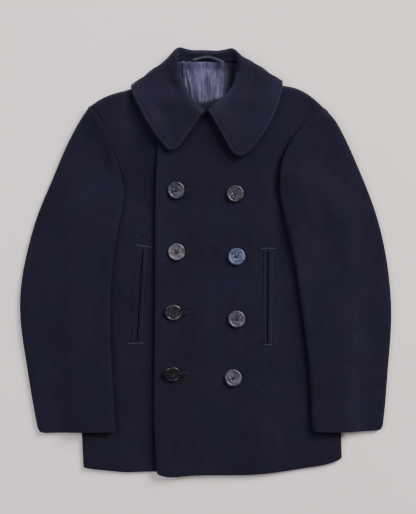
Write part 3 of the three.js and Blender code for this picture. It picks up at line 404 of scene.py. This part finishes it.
def sew_groove(piece, distance, deep, wide=1.7, bead=0.0):
    """Presses a row of stitches into a piece at a distance of 0, and rounds up what lies outside it."""
    points = points_of(piece)
    depth = deep * np.exp(-((distance / wide) ** 2))
    outside = bead * np.exp(-(((distance + 2.8) / 1.9) ** 2))
    points += normals_of(piece) * (outside - depth)[:, None]
    set_points(piece, points)
    set_attribute(piece, "stitch_line", np.clip(distance, -NO_STITCH, NO_STITCH))


def lift(piece, distance, high, wide, keep=0.0):
    """Raises a piece towards a line, from nothing at the distance "wide" to "high" on the line."""
    points = points_of(piece)
    upper_share = smoothstep(points[:, 2], keep, keep + 5) if keep else 1
    points[:, 2] += high * upper_share * (1 - smoothstep(distance, 0, wide))
    set_points(piece, points)


def round_corner(piece, corner, up, across):
    """Rounds off a corner of a piece in plan."""
    points = points_of(piece)
    corner = np.array(corner, float)
    ways = [(np.array(end) - corner) / np.linalg.norm(np.array(end) - corner) for end in (up, across)]
    share = np.ones(len(points))
    for way in ways:
        share *= (1 - np.clip((points[:, :2] - corner) @ way / CORNER_REACH, 0, 1)) ** 2
    points[:, :2] += (ways[0] + ways[1]) * CORNER_PULL * CORNER_REACH * share[:, None]
    set_points(piece, points)


# ---- Stitches, laid on the finished cloth ----


class Surface:
    """The outside of several pieces, seen from above."""

    def __init__(self, pieces):
        bpy.context.view_layer.update()
        depsgraph = bpy.context.evaluated_depsgraph_get()
        self.trees = [BVHTree.FromObject(piece, depsgraph) for piece in pieces]

    def at(self, x, y):
        best = None
        for tree in self.trees:
            place, normal, _, _ = tree.ray_cast(Vector((x * MM, y * MM, 0.2)), Vector((0, 0, -1)))
            if place is not None and (best is None or place.z > best[0].z):
                best = (place, normal)
        return best


def lengthwise(points, pitch):
    """Evenly spaced places along a line of points, each with the direction there."""
    points = np.array(points, float)
    runs = np.linalg.norm(np.diff(points, axis=0), axis=1)
    reach = np.concatenate([[0], np.cumsum(runs)])
    count = max(1, int(reach[-1] / pitch))
    places = (np.arange(count) + 0.5) * reach[-1] / count
    spots = np.stack([np.interp(places, reach, points[:, i]) for i in range(points.shape[1])], 1)
    ahead = np.stack([np.interp(places + 0.4, reach, points[:, i]) for i in range(points.shape[1])], 1)
    behind = np.stack([np.interp(places - 0.4, reach, points[:, i]) for i in range(points.shape[1])], 1)
    return [(spot, way) for spot, way in zip(spots, ahead - behind)]


def thread_bead(long, thick, sides=6):
    """One short length of thread, rounded at both ends."""
    bm = bmesh.new()
    bmesh.ops.create_uvsphere(bm, u_segments=sides, v_segments=4, radius=0.5 * MM)
    bmesh.ops.rotate(bm, verts=bm.verts, matrix=Matrix.Rotation(pi / 2, 3, "Y"))
    bmesh.ops.scale(bm, verts=bm.verts, vec=(long, thick, thick))
    mesh = bpy.data.meshes.new("thread_bead")
    bm.to_mesh(mesh)
    bm.free()
    return mesh


def lay_beads(name, bead, spots, material, surface, sink):
    """Copies of a bead of thread at each spot and way, sunk a little into a surface."""
    original = np.empty(len(bead.vertices) * 3, np.float32)
    bead.vertices.foreach_get("co", original)
    bm = bmesh.new()
    for spot, way in spots:
        found = surface.at(spot[0], spot[1])
        if found is None:
            continue
        place, normal = found
        place = place - normal * sink * MM
        forward = Vector((way[0], way[1], 0))
        forward = (forward - normal * forward.dot(normal)).normalized()
        side = normal.cross(forward)
        turn = Matrix((forward, side, normal)).transposed().to_4x4()
        bead.transform(Matrix.Translation(place) @ turn)
        bm.from_mesh(bead)
        bead.vertices.foreach_set("co", original)
    return add_piece(name, bm, material)


# ---- Finishes ----


class Finish:
    """A material whose nodes are added one by one."""

    def __init__(self, name, roughness):
        self.material = bpy.data.materials.new(name)
        self.material.use_nodes = True
        self.tree = self.material.node_tree
        self.shader = self.tree.nodes["Principled BSDF"]
        self.shader.inputs["Roughness"].default_value = roughness
        self.place = self.add("ShaderNodeTexCoord").outputs["Object"]

    def add(self, kind, settings=None, **inputs):
        """A new node. Its inputs are given by name, or by number as i0, i1 and so on."""
        node = self.tree.nodes.new(kind)
        for key, value in (settings or {}).items():
            setattr(node, key, value)
        for key, value in inputs.items():
            socket = node.inputs[int(key[1:])] if key[0] == "i" and key[1:].isdigit() else node.inputs[key]
            if isinstance(value, bpy.types.NodeSocket):
                self.tree.links.new(value, socket)
            else:
                socket.default_value = value
        return node

    def maths(self, operation, first, second=0.0, third=0.0):
        node = self.add("ShaderNodeMath", {"operation": operation}, i0=first, i1=second, i2=third)
        return node.outputs[0]

    def noise(self, scale, detail=3.0, roughness=0.55, stretch=(1, 1, 1), turn=0.0):
        place = self.place
        if stretch != (1, 1, 1) or turn:
            place = self.add("ShaderNodeMapping", Vector=place, Scale=stretch,
                             Rotation=(0, 0, radians(turn))).outputs[0]
        return self.add("ShaderNodeTexNoise", Vector=place, Scale=scale, Detail=detail,
                        Roughness=roughness).outputs["Fac"]

    def ramp(self, value, stops):
        node = self.add("ShaderNodeValToRGB", i0=value)
        ramp = node.color_ramp
        while len(ramp.elements) < len(stops):
            ramp.elements.new(0.5)
        for element, (position, colour) in zip(ramp.elements, stops):
            element.position = position
            element.color = (*colour, 1)
        return node.outputs[0]

    def range(self, value, low, high, to_low=0.0, to_high=1.0):
        node = self.add("ShaderNodeMapRange", {"interpolation_type": "SMOOTHSTEP", "clamp": True},
                        Value=value, i1=low, i2=high, i3=to_low, i4=to_high)
        return node.outputs[0]

    def mix(self, share, first, second):
        node = self.add("ShaderNodeMix", {"data_type": "RGBA"}, i0=share, i6=first, i7=second)
        return node.outputs[2]

    def bump(self, height, distance, strength=1.0):
        previous = self.shader.inputs["Normal"]
        node = self.add("ShaderNodeBump", Height=height, Distance=distance * MM, Strength=strength)
        if previous.is_linked:
            self.tree.links.new(previous.links[0].from_socket, node.inputs["Normal"])
        self.tree.links.new(node.outputs[0], previous)

    def colour(self, socket):
        self.tree.links.new(socket, self.shader.inputs["Base Color"])

    def sheen(self, weight, roughness, tint):
        self.shader.inputs["Sheen Weight"].default_value = weight
        self.shader.inputs["Sheen Roughness"].default_value = roughness
        self.shader.inputs["Sheen Tint"].default_value = (*tint, 1)


def opaque(r, g, b):
    return (r, g, b, 1)


def wool(name, dark, light, stitched=False, wear_and_painted_light=False):
    """Felted navy wool: a short uneven nap over a hidden twill, with pale lint caught in it."""
    f = Finish(name, 0.95)
    f.shader.inputs["Specular IOR Level"].default_value = 0.12
    f.sheen(0.15, 0.5, (0.62, 0.58, 1.0))
    broad = f.noise(9, 4, 0.6)
    brushed = f.noise(70, 4, 0.65, stretch=(1, 0.45, 1))
    nap = f.noise(620, 3, 0.7, stretch=(1, 0.6, 1))
    shade = f.maths("ADD", f.maths("MULTIPLY", broad, 0.45), f.maths("MULTIPLY", brushed, 0.35))
    shade = f.maths("ADD", shade, f.maths("MULTIPLY", nap, 0.35))
    cloth = f.ramp(shade, [(0.36, dark), (0.74, light)])
    drift = f.range(f.noise(13, 4, 0.65), 0.48, 0.7, 0, 0.5)
    cloth = f.mix(drift, cloth, opaque(light[0] * 0.55, light[1] * 0.95, light[2] * 0.95))
    # Painted lighter on the collar where worn, with a painted highlight along its fold and rim, and left
    # darker at the stand as painted shade
    if wear_and_painted_light:
        worn = f.add("ShaderNodeAttribute", {"attribute_name": "wear_and_painted_light"}).outputs["Fac"]
        worn = f.maths("MULTIPLY", worn, f.range(f.noise(38, 4, 0.6), 0.25, 0.75, 0.5, 1.0))
        cloth = f.mix(worn, cloth, opaque(0.023, 0.023, 0.043))
    lint_cell = f.add("ShaderNodeTexVoronoi", {"feature": "F1"}, Vector=f.place, Scale=130, Randomness=1)
    near = f.range(lint_cell.outputs["Distance"], 0.05, 0.13, 1, 0)
    chosen = f.range(f.add("ShaderNodeSeparateColor", Color=lint_cell.outputs["Color"]).outputs[0],
                     0.955, 0.965)
    lint = f.maths("MULTIPLY", near, chosen)
    cloth = f.mix(f.maths("MULTIPLY", lint, 0.3), cloth, opaque(0.16, 0.165, 0.19))
    if stitched:
        # The wool is darkened along the pressed row of stitches, as painted shade in its groove
        line = f.add("ShaderNodeAttribute", {"attribute_name": "stitch_line"}).outputs["Fac"]
        beside = f.range(f.maths("ABSOLUTE", line), 0.3, 1.6, 1, 0)
        cloth = f.mix(f.maths("MULTIPLY", beside, 0.5), cloth, opaque(*(tone * 0.6 for tone in dark)))
        f.bump(beside, -0.35)
    f.colour(cloth)
    f.bump(brushed, 0.5, 0.6)
    f.bump(nap, 0.55, 0.8)
    return f.material


def satin(name, dark, middle, light):
    """Lining satin, lighter and darker in streaks along its length."""
    f = Finish(name, 0.5)
    f.shader.inputs["Specular IOR Level"].default_value = 0.3
    f.sheen(0.12, 0.4, (0.75, 0.68, 1.0))
    streak = f.noise(170, 5, 0.72, stretch=(1, 0.11, 0.3), turn=-4)
    broad = f.noise(60, 3, 0.6, stretch=(1, 0.3, 0.3), turn=6)
    streak = f.maths("ADD", f.maths("MULTIPLY", streak, 0.6), f.maths("MULTIPLY", broad, 0.4))
    patch = f.noise(34, 3, 0.6)
    weave = f.add("ShaderNodeTexWave", {"wave_type": "BANDS", "bands_direction": "DIAGONAL"},
                  Vector=f.place, Scale=520, Distortion=0.6).outputs["Fac"]
    shade = f.maths("ADD", f.maths("MULTIPLY", streak, 0.8), f.maths("MULTIPLY", patch, 0.25))
    cloth = f.ramp(shade, [(0.38, dark), (0.5, middle), (0.64, light)])
    facing_and_painted_shade = f.add("ShaderNodeAttribute", {"attribute_name": "facing_and_painted_shade"}).outputs["Fac"]
    # Darkened to the colour of the dark wool facing where it shows, and as painted shade in the deep fold and
    # beside the collar
    f.colour(f.mix(facing_and_painted_shade, cloth, opaque(0.0085, 0.0075, 0.018)))
    f.tree.links.new(f.range(facing_and_painted_shade, 0, 1, 0.5, 0.98), f.shader.inputs["Roughness"])
    f.bump(streak, 0.25, 0.5)
    f.bump(weave, 0.05, 0.5)
    return f.material


def resin(name, dark, light, gloss, pitted):
    """Worn button resin, duller where it has been handled."""
    f = Finish(name, gloss)
    f.shader.inputs["Specular IOR Level"].default_value = 0.5
    cloud = f.noise(150, 4, 0.6)
    fine = f.noise(900, 3, 0.7)
    f.colour(f.ramp(f.maths("ADD", f.maths("MULTIPLY", cloud, 0.7), f.maths("MULTIPLY", fine, 0.3)),
                    [(0.38, dark), (0.64, light)]))
    worn = f.range(cloud, 0.35, 0.7, gloss - 0.08, gloss + 0.22)
    f.tree.links.new(worn, f.shader.inputs["Roughness"])
    f.bump(fine, 0.12, 0.5)
    f.bump(f.noise(420, 2, 0.5), pitted, 0.8)
    return f.material


def thread(name, dark, light):
    """Twisted sewing thread."""
    f = Finish(name, 0.7)
    f.shader.inputs["Specular IOR Level"].default_value = 0.3
    f.sheen(0.2, 0.5, (0.7, 0.75, 1.0))
    twist = f.add("ShaderNodeTexWave", {"wave_type": "BANDS", "bands_direction": "DIAGONAL"},
                  Vector=f.place, Scale=900, Distortion=0.5).outputs["Fac"]
    tone = f.noise(240, 2, 0.5)
    f.colour(f.ramp(f.maths("MULTIPLY_ADD", twist, 0.3, f.maths("MULTIPLY", tone, 0.7)),
                    [(0.3, dark), (0.75, light)]))
    f.bump(twist, 0.12, 0.8)
    return f.material


def pale_paint(name, colour):
    """The plain floor."""
    f = Finish(name, 0.9)
    f.shader.inputs["Specular IOR Level"].default_value = 0.1
    tone = f.noise(3, 3, 0.5)
    f.colour(f.ramp(tone, [(0.3, tuple(c * 0.97 for c in colour)), (0.7, colour)]))
    return f.material


NAVY_DARK, NAVY_LIGHT = (0.0041, 0.0032, 0.0081), (0.0109, 0.0085, 0.0211)
WOOL = wool("navy_wool", NAVY_DARK, NAVY_LIGHT)
WOOL_SEWN = wool("navy_wool_sewn", NAVY_DARK, NAVY_LIGHT, stitched=True)
WOOL_WORN_AND_PAINTED_LIGHT = wool("worn_and_painted_light_collar_wool", NAVY_DARK, NAVY_LIGHT, stitched=True, wear_and_painted_light=True)
SATIN = satin("streaked_lining_satin", (0.005, 0.004, 0.010), (0.032, 0.027, 0.064), (0.118, 0.101, 0.208))
HANGER_SATIN = satin("hanger_tape", (0.008, 0.007, 0.015), (0.020, 0.019, 0.036), (0.044, 0.042, 0.072))
RESINS = {
    "black": resin("black_resin", (0.004, 0.0035, 0.005), (0.024, 0.021, 0.028), 0.2, 0.35),
    "soot": resin("soot_resin", (0.004, 0.0035, 0.005), (0.056, 0.047, 0.058), 0.16, 0.6),
    "steel": resin("worn_steel_grey_resin", (0.0015, 0.0015, 0.003), (0.074, 0.073, 0.108), 0.12, 0.95),
    "pale": resin("pale_grey_resin", (0.028, 0.023, 0.029), (0.165, 0.142, 0.178), 0.28, 0.12),
    "brown": resin("brown_grey_resin", (0.010, 0.009, 0.011), (0.072, 0.065, 0.084), 0.25, 0.3),
    "blue": resin("blue_grey_resin", (0.028, 0.034, 0.062), (0.118, 0.140, 0.245), 0.3, 0.12),
    "plum": resin("plum_grey_resin", (0.019, 0.017, 0.028), (0.106, 0.094, 0.138), 0.28, 0.16),
}
NAVY_THREAD = thread("navy_thread", (0.006, 0.006, 0.010), (0.020, 0.021, 0.031))
CUFF_THREAD = thread("cuff_thread", (0.012, 0.011, 0.019), (0.036, 0.034, 0.052))
WORN_THREAD = thread("worn_thread", (0.020, 0.019, 0.030), (0.060, 0.058, 0.082))
FLOOR_PAINT = pale_paint("pale_floor", (0.93, 0.85, 0.81))

# ---- The cloth ----

back = cloth_copy("back", "coat_back", 2, WOOL)



def on_overlap_edge(points):
    """The free front edge of the left front, below the collar."""
    return (points[:, 0] < -80) & (points[:, 1] < 240)


fronts = {}
for side in ("right", "left"):
    fronts[side] = cloth_copy(f"{side}_front", f"{side}_front_cloth", 3, WOOL)
    drape(fronts[side], FRONT_CREASES)
left_front = fronts["left"]
lift(left_front, edge_distances(left_front, on_overlap_edge), **OVERLAP_LIFT)
lift(left_front, distance_to_line(points_of(left_front), ARMHOLE_SEAMS["left"][1:]), **ARMHOLE_SINK)

sleeves = {}
for side in ("right", "left"):
    under = cloth_copy(f"{side}_under_sleeve", f"{side}_under_sleeve_cloth", 2, WOOL)
    upper = cloth_copy(f"{side}_upper_sleeve", f"{side}_upper_sleeve_cloth", 3, WOOL_SEWN)
    drape(upper, SLEEVE_CREASES)
    seam = ARMHOLE_SEAMS[side][SLEEVE_LIFT_ALONG[side]]
    lift(upper, distance_to_line(points_of(upper), seam), **SLEEVE_LIFT[side])
    points = points_of(upper)
    rows = [np.interp(points[:, 0], *zip(*line)) for line in CUFF_STITCHES[side]]
    away = np.abs(points[:, 1] - np.mean(rows, 0)) - CUFF_ROWS_APART / 2
    sew_groove(upper, np.where(points[:, 2] > 3, away, NO_STITCH), 0.14)
    for corner in CUFF_CORNERS[side]:
        round_corner(under, *corner)
        round_corner(upper, *corner)
    sleeves[side] = {"under": under, "upper": upper}


def on_leaf_edge(points):
    """The free edge of the collar, away from the seam round the neck and from the back."""
    return (distance_to_line(points, NECK_SEAM) > 7) & (points[:, 1] < 352)


collar = cloth_copy("collar", "collar_cloth", 2, WOOL_WORN_AND_PAINTED_LIGHT)
drape(collar, COLLAR_CREASES, keep=8)
from_edge = edge_distances(collar, on_leaf_edge)
points = points_of(collar)
on_front = smoothstep(points[:, 2], 9, 14) * (1 - smoothstep(points[:, 1], 285, 325))
points[:, 2] += LEAF_LIFT["high"] * on_front * (1 - smoothstep(from_edge, 0, LEAF_LIFT["wide"]))
set_points(collar, points)
sew_groove(collar, from_edge - COLLAR_STITCH_FROM_EDGE, 0.4, bead=0.45)
points = points_of(collar)
points[:, 2] = np.maximum(points[:, 2], 0)  # nothing goes below what the coat lies on
at_top = smoothstep(points[:, 1], 355, 382)
for row in COLLAR_TOP:
    points[:, 1] += row["high"] * at_top * np.exp(-(((points[:, 0] - row["x"]) / row["wide"]) ** 2))
set_points(collar, points)
# The fold round the neck and the turned edge are painted lighter, partly for their wear and partly as a
# painted highlight on their rounded edges. The collar is lightened a little all over, except the stand, which
# is left darker as painted shade
on_fold = np.exp(-((distance_to_line(points, COLLAR_FOLD) / 7) ** 2))
on_rim = np.exp(-(((from_edge - 0.6) / 1.6) ** 2))
in_stand = (distance_to_line(points, NECK_SEAM) < 14) & (points[:, 1] > 340)
wear_and_painted_light = np.clip(0.14 + 0.35 * on_fold + 0.42 * on_rim, 0, 1)
set_attribute(collar, "wear_and_painted_light", np.where(in_stand, 0.0, wear_and_painted_light))

lining = cloth_copy("neck_lining", "neck_lining_cloth", 3, SATIN)
points = points_of(lining)
share = (points[:, 1] - LINING["bottom"]) / LINING["long"]
for wrinkle in SATIN_WRINKLES:
    middle = wrinkle["bottom"] + (wrinkle["top"] - wrinkle["bottom"]) * share
    middle += wrinkle["sway"] * np.sin(4.4 * share + wrinkle["top"])
    fade = 0.6 + 0.4 * np.sin(5.2 * share + 2.1 * wrinkle["bottom"])
    points[:, 2] += wrinkle["high"] * fade * np.exp(-(((points[:, 0] - middle) / wrinkle["wide"]) ** 2))
points[:, 2] += LINING["rise"] * smoothstep(points[:, 1], 346, 357)
points[:, 1] += LINING["shift"] * smoothstep(points[:, 1], 342, 357)
set_points(lining, points)
# The dark wool facing shows beside the collar on the left and low down. Beside the collar the collar's shade
# is painted in with it, and shade is painted as a dark line into the deep fold
along_fold = np.interp(points[:, 1], *zip(*LINING_FOLD))
in_fold = np.exp(-(((points[:, 0] - along_fold) / 1.5) ** 2)) * smoothstep(points[:, 1], 275, 300)
beside = np.interp(points[:, 1], *zip(*FACING_BESIDE))
by_collar = smoothstep(points[:, 0] - beside, -6, 5)
above = points[:, 1] - FACING_BELOW["y"] - FACING_BELOW["slope"] * (points[:, 0] - FACING_BELOW["x"])
low_down = 1 - smoothstep(above, -4, 3)
facing_and_painted_shade = np.clip(0.85 * in_fold + 0.94 * by_collar + 0.96 * low_down, 0, 1)
set_attribute(lining, "facing_and_painted_shade", facing_and_painted_shade)

hanger = cloth_copy("hanger_loop", "hanger_loop_tape", 3, HANGER_SATIN)

welts = {}
for side in ("right", "left"):
    for part in ("front", "side"):
        welt = cloth_copy(f"{side}_pocket_{part}_welt", f"{side}_pocket_{part}_lip", 3, WOOL)
        drape(welt, FRONT_CREASES)
        points = points_of(welt)
        points[:, 2] -= WELT_SINK
        set_points(welt, points)
        welts[side, part] = welt


STRIP = {"rows": 60, "columns": 4, "feel": 3.4, "thick": 0.9}  # "feel" is how far out the cloth is measured


def strip(name, line, size, over):
    """A strip of cloth just under the cloth on both sides of a line, closed by its own thickness."""
    line = np.array(line, float)
    reach = np.concatenate([[0], np.cumsum(np.linalg.norm(np.diff(line, axis=0), axis=1))])
    bm = bmesh.new()
    bmesh.ops.create_grid(bm, x_segments=STRIP["rows"], y_segments=STRIP["columns"], size=1)
    surface = Surface(over)
    for vert in bm.verts:
        along, across = (vert.co.x + 1) / 2 * reach[-1], vert.co.y
        spot = np.array([np.interp(along, reach, line[:, i]) for i in (0, 1)])
        ahead = np.array([np.interp(along + 1, reach, line[:, i]) - np.interp(along - 1, reach, line[:, i])
                          for i in (0, 1)])
        side = np.array([-ahead[1], ahead[0]]) / np.linalg.norm(ahead)
        heights = [surface.at(*(spot + side * out)) for out in (-STRIP["feel"], STRIP["feel"])]
        lowest = min(found[0].z for found in heights if found is not None)
        vert.co = Vector((*(spot + side * across * size["wide"] / 2) * MM, lowest - size["deep"] * MM))
    bmesh.ops.recalc_face_normals(bm, faces=bm.faces)
    if sum(face.normal.z for face in bm.faces) < 0:
        bmesh.ops.reverse_faces(bm, faces=bm.faces)
    piece = add_piece(name, bm, WOOL)
    wall = piece.modifiers.new("wall", "SOLIDIFY")
    wall.thickness = STRIP["thick"] * MM
    wall.offset = -1
    return piece


for side in ("right", "left"):
    both = [fronts[side], sleeves[side]["upper"]]
    strip(f"{side}_armhole_seam", ARMHOLE_SEAMS[side], ARMHOLE_STRIP, both)
    strip(f"{side}_pocket_facing", POCKET_SLITS[side], POCKET_STRIP, [fronts[side]])
    for k, line in enumerate(LIP_SEAMS[side]):
        strip(f"{side}_pocket_lip_seam_{k + 1}", line, LIP_STRIP, [fronts[side]])

# ---- Buttons ----


def button_shape():
    """A round button with a raised rim, a stepped dish and four holes."""
    r, t = BUTTON["radius"], BUTTON["thick"]
    profile = [(0, 0), (r - 3.4, 0), (r - 1.5, 0.35), (r - 0.45, 1.15), (r, 2.1), (r - 0.3, 3.0),
               (r - 1.0, 3.75), (r - 2.0, t), (r - 2.9, t - 0.15), (r - 3.5, t - 0.95), (r - 4.1, t - 1.3),
               (r - 4.9, t - 1.15), (r - 5.4, t - 0.95), (r - 6.4, t - 0.95), (r - 6.9, t - 1.2),
               (r - 8.2, t - 1.3), (0, t - 1.35)]
    bm = bmesh.new()
    verts = [bm.verts.new((x * MM, 0, z * MM)) for x, z in profile]
    edges = [bm.edges.new(pair) for pair in zip(verts, verts[1:])]
    bmesh.ops.spin(bm, geom=[*verts, *edges], cent=(0, 0, 0), axis=(0, 0, 1), angle=2 * pi,
                   steps=56, use_merge=True)
    bmesh.ops.remove_doubles(bm, verts=bm.verts, dist=0.001 * MM)
    bmesh.ops.recalc_face_normals(bm, faces=bm.faces)
    mesh = bpy.data.meshes.new("button")
    bm.to_mesh(mesh)
    bm.free()
    cutter = bmesh.new()
    for k in range(4):
        angle = pi / 4 + k * pi / 2
        ring = BUTTON["hole_ring"] * MM
        place = Matrix.Translation((ring * cos(angle), ring * sin(angle), t / 2 * MM))
        bmesh.ops.create_cone(cutter, cap_ends=True, segments=16, radius1=BUTTON["hole"] * MM,
                              radius2=BUTTON["hole"] * MM, depth=2 * t * MM, matrix=place)
    cutter_mesh = bpy.data.meshes.new("button_holes")
    cutter.to_mesh(cutter_mesh)
    cutter.free()
    blank = bpy.data.objects.new("button_blank", mesh)
    holes = bpy.data.objects.new("button_holes", cutter_mesh)
    for thing in (blank, holes):
        bpy.context.scene.collection.objects.link(thing)
    cut = blank.modifiers.new("holes", "BOOLEAN")
    cut.operation = "DIFFERENCE"
    cut.solver = "EXACT"
    cut.object = holes
    bpy.context.view_layer.update()
    depsgraph = bpy.context.evaluated_depsgraph_get()
    made = bpy.data.meshes.new_from_object(blank.evaluated_get(depsgraph))
    bpy.data.objects.remove(blank)
    bpy.data.objects.remove(holes)
    return made


def button_thread():
    """Three strands each way across the four holes, crossing in the middle."""
    ring, top = BUTTON["hole_ring"], BUTTON["thick"] - 1.1
    bm = bmesh.new()
    for layer, angle in enumerate((pi / 4, 3 * pi / 4)):
        for strand in (-0.55, 0, 0.55):
            bar = bmesh.ops.create_uvsphere(bm, u_segments=8, v_segments=8, radius=0.5 * MM)["verts"]
            bmesh.ops.scale(bm, verts=bar, vec=(0.8, 0.8, 2 * ring + 0.8))
            bmesh.ops.rotate(bm, verts=bar, matrix=Matrix.Rotation(pi / 2, 3, "Y"))
            for vert in bar:
                reach = vert.co.x / (ring * MM)
                vert.co.z += (0.35 + 0.35 * layer) * MM * (1 - reach * reach) - 0.5 * MM * reach ** 8
                vert.co.y += strand * MM * (1 - 0.35 * reach * reach)
            bmesh.ops.rotate(bm, verts=bar, matrix=Matrix.Rotation(angle, 3, "Z"))
            bmesh.ops.translate(bm, verts=bar, vec=(0, 0, top * MM))
    mesh = bpy.data.meshes.new("button_thread")
    bm.to_mesh(mesh)
    bm.free()
    return mesh


front_top = Surface([fronts["right"], fronts["left"]])
button_mesh, thread_mesh = button_shape(), button_thread()
for row in BUTTONS:
    turn = Euler((radians(row["lean"]), 0, 0)).to_matrix() @ Matrix.Rotation(radians(row["turn"]), 3, "Z")
    turn = turn.to_4x4()
    seat = -1.0
    for vert in button_mesh.vertices:
        corner = turn @ vert.co + Vector((row["x"], row["y"], 0)) * MM
        if (turn @ vert.normal).z < 0:
            ground = front_top.at(corner.x / MM, corner.y / MM)
            seat = max(seat, ground[0].z + BUTTON["clear"] * MM - corner.z)
    place = Matrix.Translation((row["x"] * MM, row["y"] * MM, seat)) @ turn
    for mesh, name, material in ((button_mesh, row["node"] + "_resin", RESINS[row["finish"]]),
                                 (thread_mesh, row["node"] + "_thread", NAVY_THREAD)):
        bm = bmesh.new()
        bm.from_mesh(mesh)
        bmesh.ops.transform(bm, matrix=place, verts=bm.verts)
        piece = add_piece(name, bm, material)
        if mesh is button_mesh:
            piece.data.shade_smooth()
            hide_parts(row["node"])

# ---- Sewing ----

stitch = thread_bead(STITCH["long"], STITCH["thick"])
small_stitch = thread_bead(BUTTONHOLE["bar"], 0.55)
tack = thread_bead(BAR_TACK["wide"], 0.5)


def edge_line(piece, wanted, inside):
    """The line of points at a distance inside a piece's cut edge, in order round it."""
    distances = edge_distances(piece, wanted)
    points = points_of(piece)
    up = (normals_of(piece)[:, 2] > 0.35) & (points[:, 2] > 9)
    ring = []
    for edge in piece.data.edges:
        a, b = edge.vertices
        if up[a] and up[b] and (distances[a] - inside) * (distances[b] - inside) < 0:
            share = (inside - distances[a]) / (distances[b] - distances[a])
            ring.append(points[a] + (points[b] - points[a]) * share)
    return ring


def in_order(spots, start, reach=9):
    """Sorts loose points on a line by walking to the nearest one left."""
    left = [np.array(spot) for spot in spots]
    here = min(left, key=lambda p: np.hypot(*(p[:2] - start)))
    line = [here]
    left = np.array([p for p in left if p is not here])
    while len(left):
        gaps = np.linalg.norm(left - here, axis=1)
        nearest = int(gaps.argmin())
        if gaps[nearest] > reach:
            break
        here = left[nearest]
        line.append(here)
        left = left[gaps > 1.2]
    return line


collar_top = Surface([collar])
for name, start, side in (("collar_stitches_right", (-9, 266), -1), ("collar_stitches_left", (11, 266), 1)):
    ring = edge_line(collar, lambda p: on_leaf_edge(p) & (p[:, 0] * side > 0), COLLAR_STITCH_FROM_EDGE)
    line = in_order([p for p in ring if p[0] * side > 0], np.array(start))
    spots = lengthwise([p[:2] for p in line], STITCH["pitch"])
    lay_beads(name, stitch, spots, WORN_THREAD, collar_top, STITCH["sink"])

for side in ("right", "left"):
    sleeve_top = Surface([sleeves[side]["upper"]])
    for k, line in enumerate(CUFF_STITCHES[side]):
        spots = lengthwise(line, STITCH["pitch"])
        lay_beads(f"{side}_cuff_stitches_{k + 1}", stitch, spots, CUFF_THREAD, sleeve_top, STITCH["sink"])
    pocket_top = Surface([fronts[side], welts[side, "front"], welts[side, "side"]])
    sink = POCKET_STITCH["sink"]
    for k, line in enumerate(POCKETS[side]["stitches"]):
        spots = lengthwise(line, POCKET_STITCH["pitch"])
        lay_beads(f"{side}_pocket_stitches_{k + 1}", stitch, spots, WORN_THREAD, pocket_top, sink)
    for k, bar in enumerate(POCKETS[side]["bars"]):
        spots = [(spot, (-way[1], way[0])) for spot, way in lengthwise(bar, BAR_TACK["pitch"])]
        lay_beads(f"{side}_pocket_bar_tack_{k + 1}", tack, spots, WORN_THREAD, pocket_top, sink)

overlap_top = Surface([fronts["left"]])
for k, row in enumerate(BUTTONS[:4]):
    left, right, y = BUTTONHOLE["starts"], BUTTONHOLE["starts"] + BUTTONHOLE["long"], row["y"]
    spots = []
    for spot, _ in lengthwise([(left, y), (right, y)], BUTTONHOLE["pitch"]):
        for out in (-1, 1):
            spots.append(((spot[0], y + out * BUTTONHOLE["wide"] / 2), (0.12, out)))
    # The stitches fan out round the end towards the middle of the coat
    for angle in np.linspace(-pi / 2, pi / 2, 7):
        out = (cos(angle), sin(angle))
        spots.append(((right + 1.4 * out[0], y + 1.6 * out[1]), out))
    lay_beads(f"buttonhole_{k + 1}", small_stitch, spots, NAVY_THREAD, overlap_top, 0.0)

# ---- Floor, light and camera ----

bm = bmesh.new()
bmesh.ops.create_grid(bm, x_segments=2, y_segments=2, size=3)
bmesh.ops.translate(bm, verts=bm.verts, vec=(0, 0, -0.3 * MM))
floor = add_piece("floor", bm, FLOOR_PAINT)


def softbox(name, place, size, power, colour):
    """A large soft lamp that points at the middle of the coat."""
    lamp = bpy.data.lights.new(name, "AREA")
    lamp.shape = "RECTANGLE"
    lamp.size, lamp.size_y = size
    lamp.energy = power
    lamp.color = colour
    box = bpy.data.objects.new(name, lamp)
    box.location = place
    box.rotation_euler = (-Vector(place)).to_track_quat("-Z", "Y").to_euler()
    bpy.context.scene.collection.objects.link(box)


softbox("window_light", place=(3.6, 3.2, 3.0), size=(3.2, 2.8), power=572, colour=(1.0, 0.985, 0.97))
softbox("fill_light", place=(-2.8, 0.6, 2.6), size=(2.4, 2.4), power=98, colour=(0.95, 0.95, 1.0))

world = bpy.data.worlds.new("room")
world.use_nodes = True
background = world.node_tree.nodes["Background"].inputs
background["Color"].default_value = (0.93, 0.96, 1.0, 1)
background["Strength"].default_value = 0.195
bpy.context.scene.world = world

lens = bpy.data.cameras.new("camera")
lens.sensor_fit = "VERTICAL"
lens.sensor_height = 24
lens.lens = 24 * CAMERA["above_coat"] / CAMERA["picture_height"]
lens.clip_start = 0.05
lens.clip_end = 20
camera = bpy.data.objects.new("camera", lens)
camera.location = (CAMERA["x"] * MM, CAMERA["y"] * MM, (CAMERA["coat_level"] + CAMERA["above_coat"]) * MM)
bpy.context.scene.collection.objects.link(camera)
bpy.context.scene.camera = camera
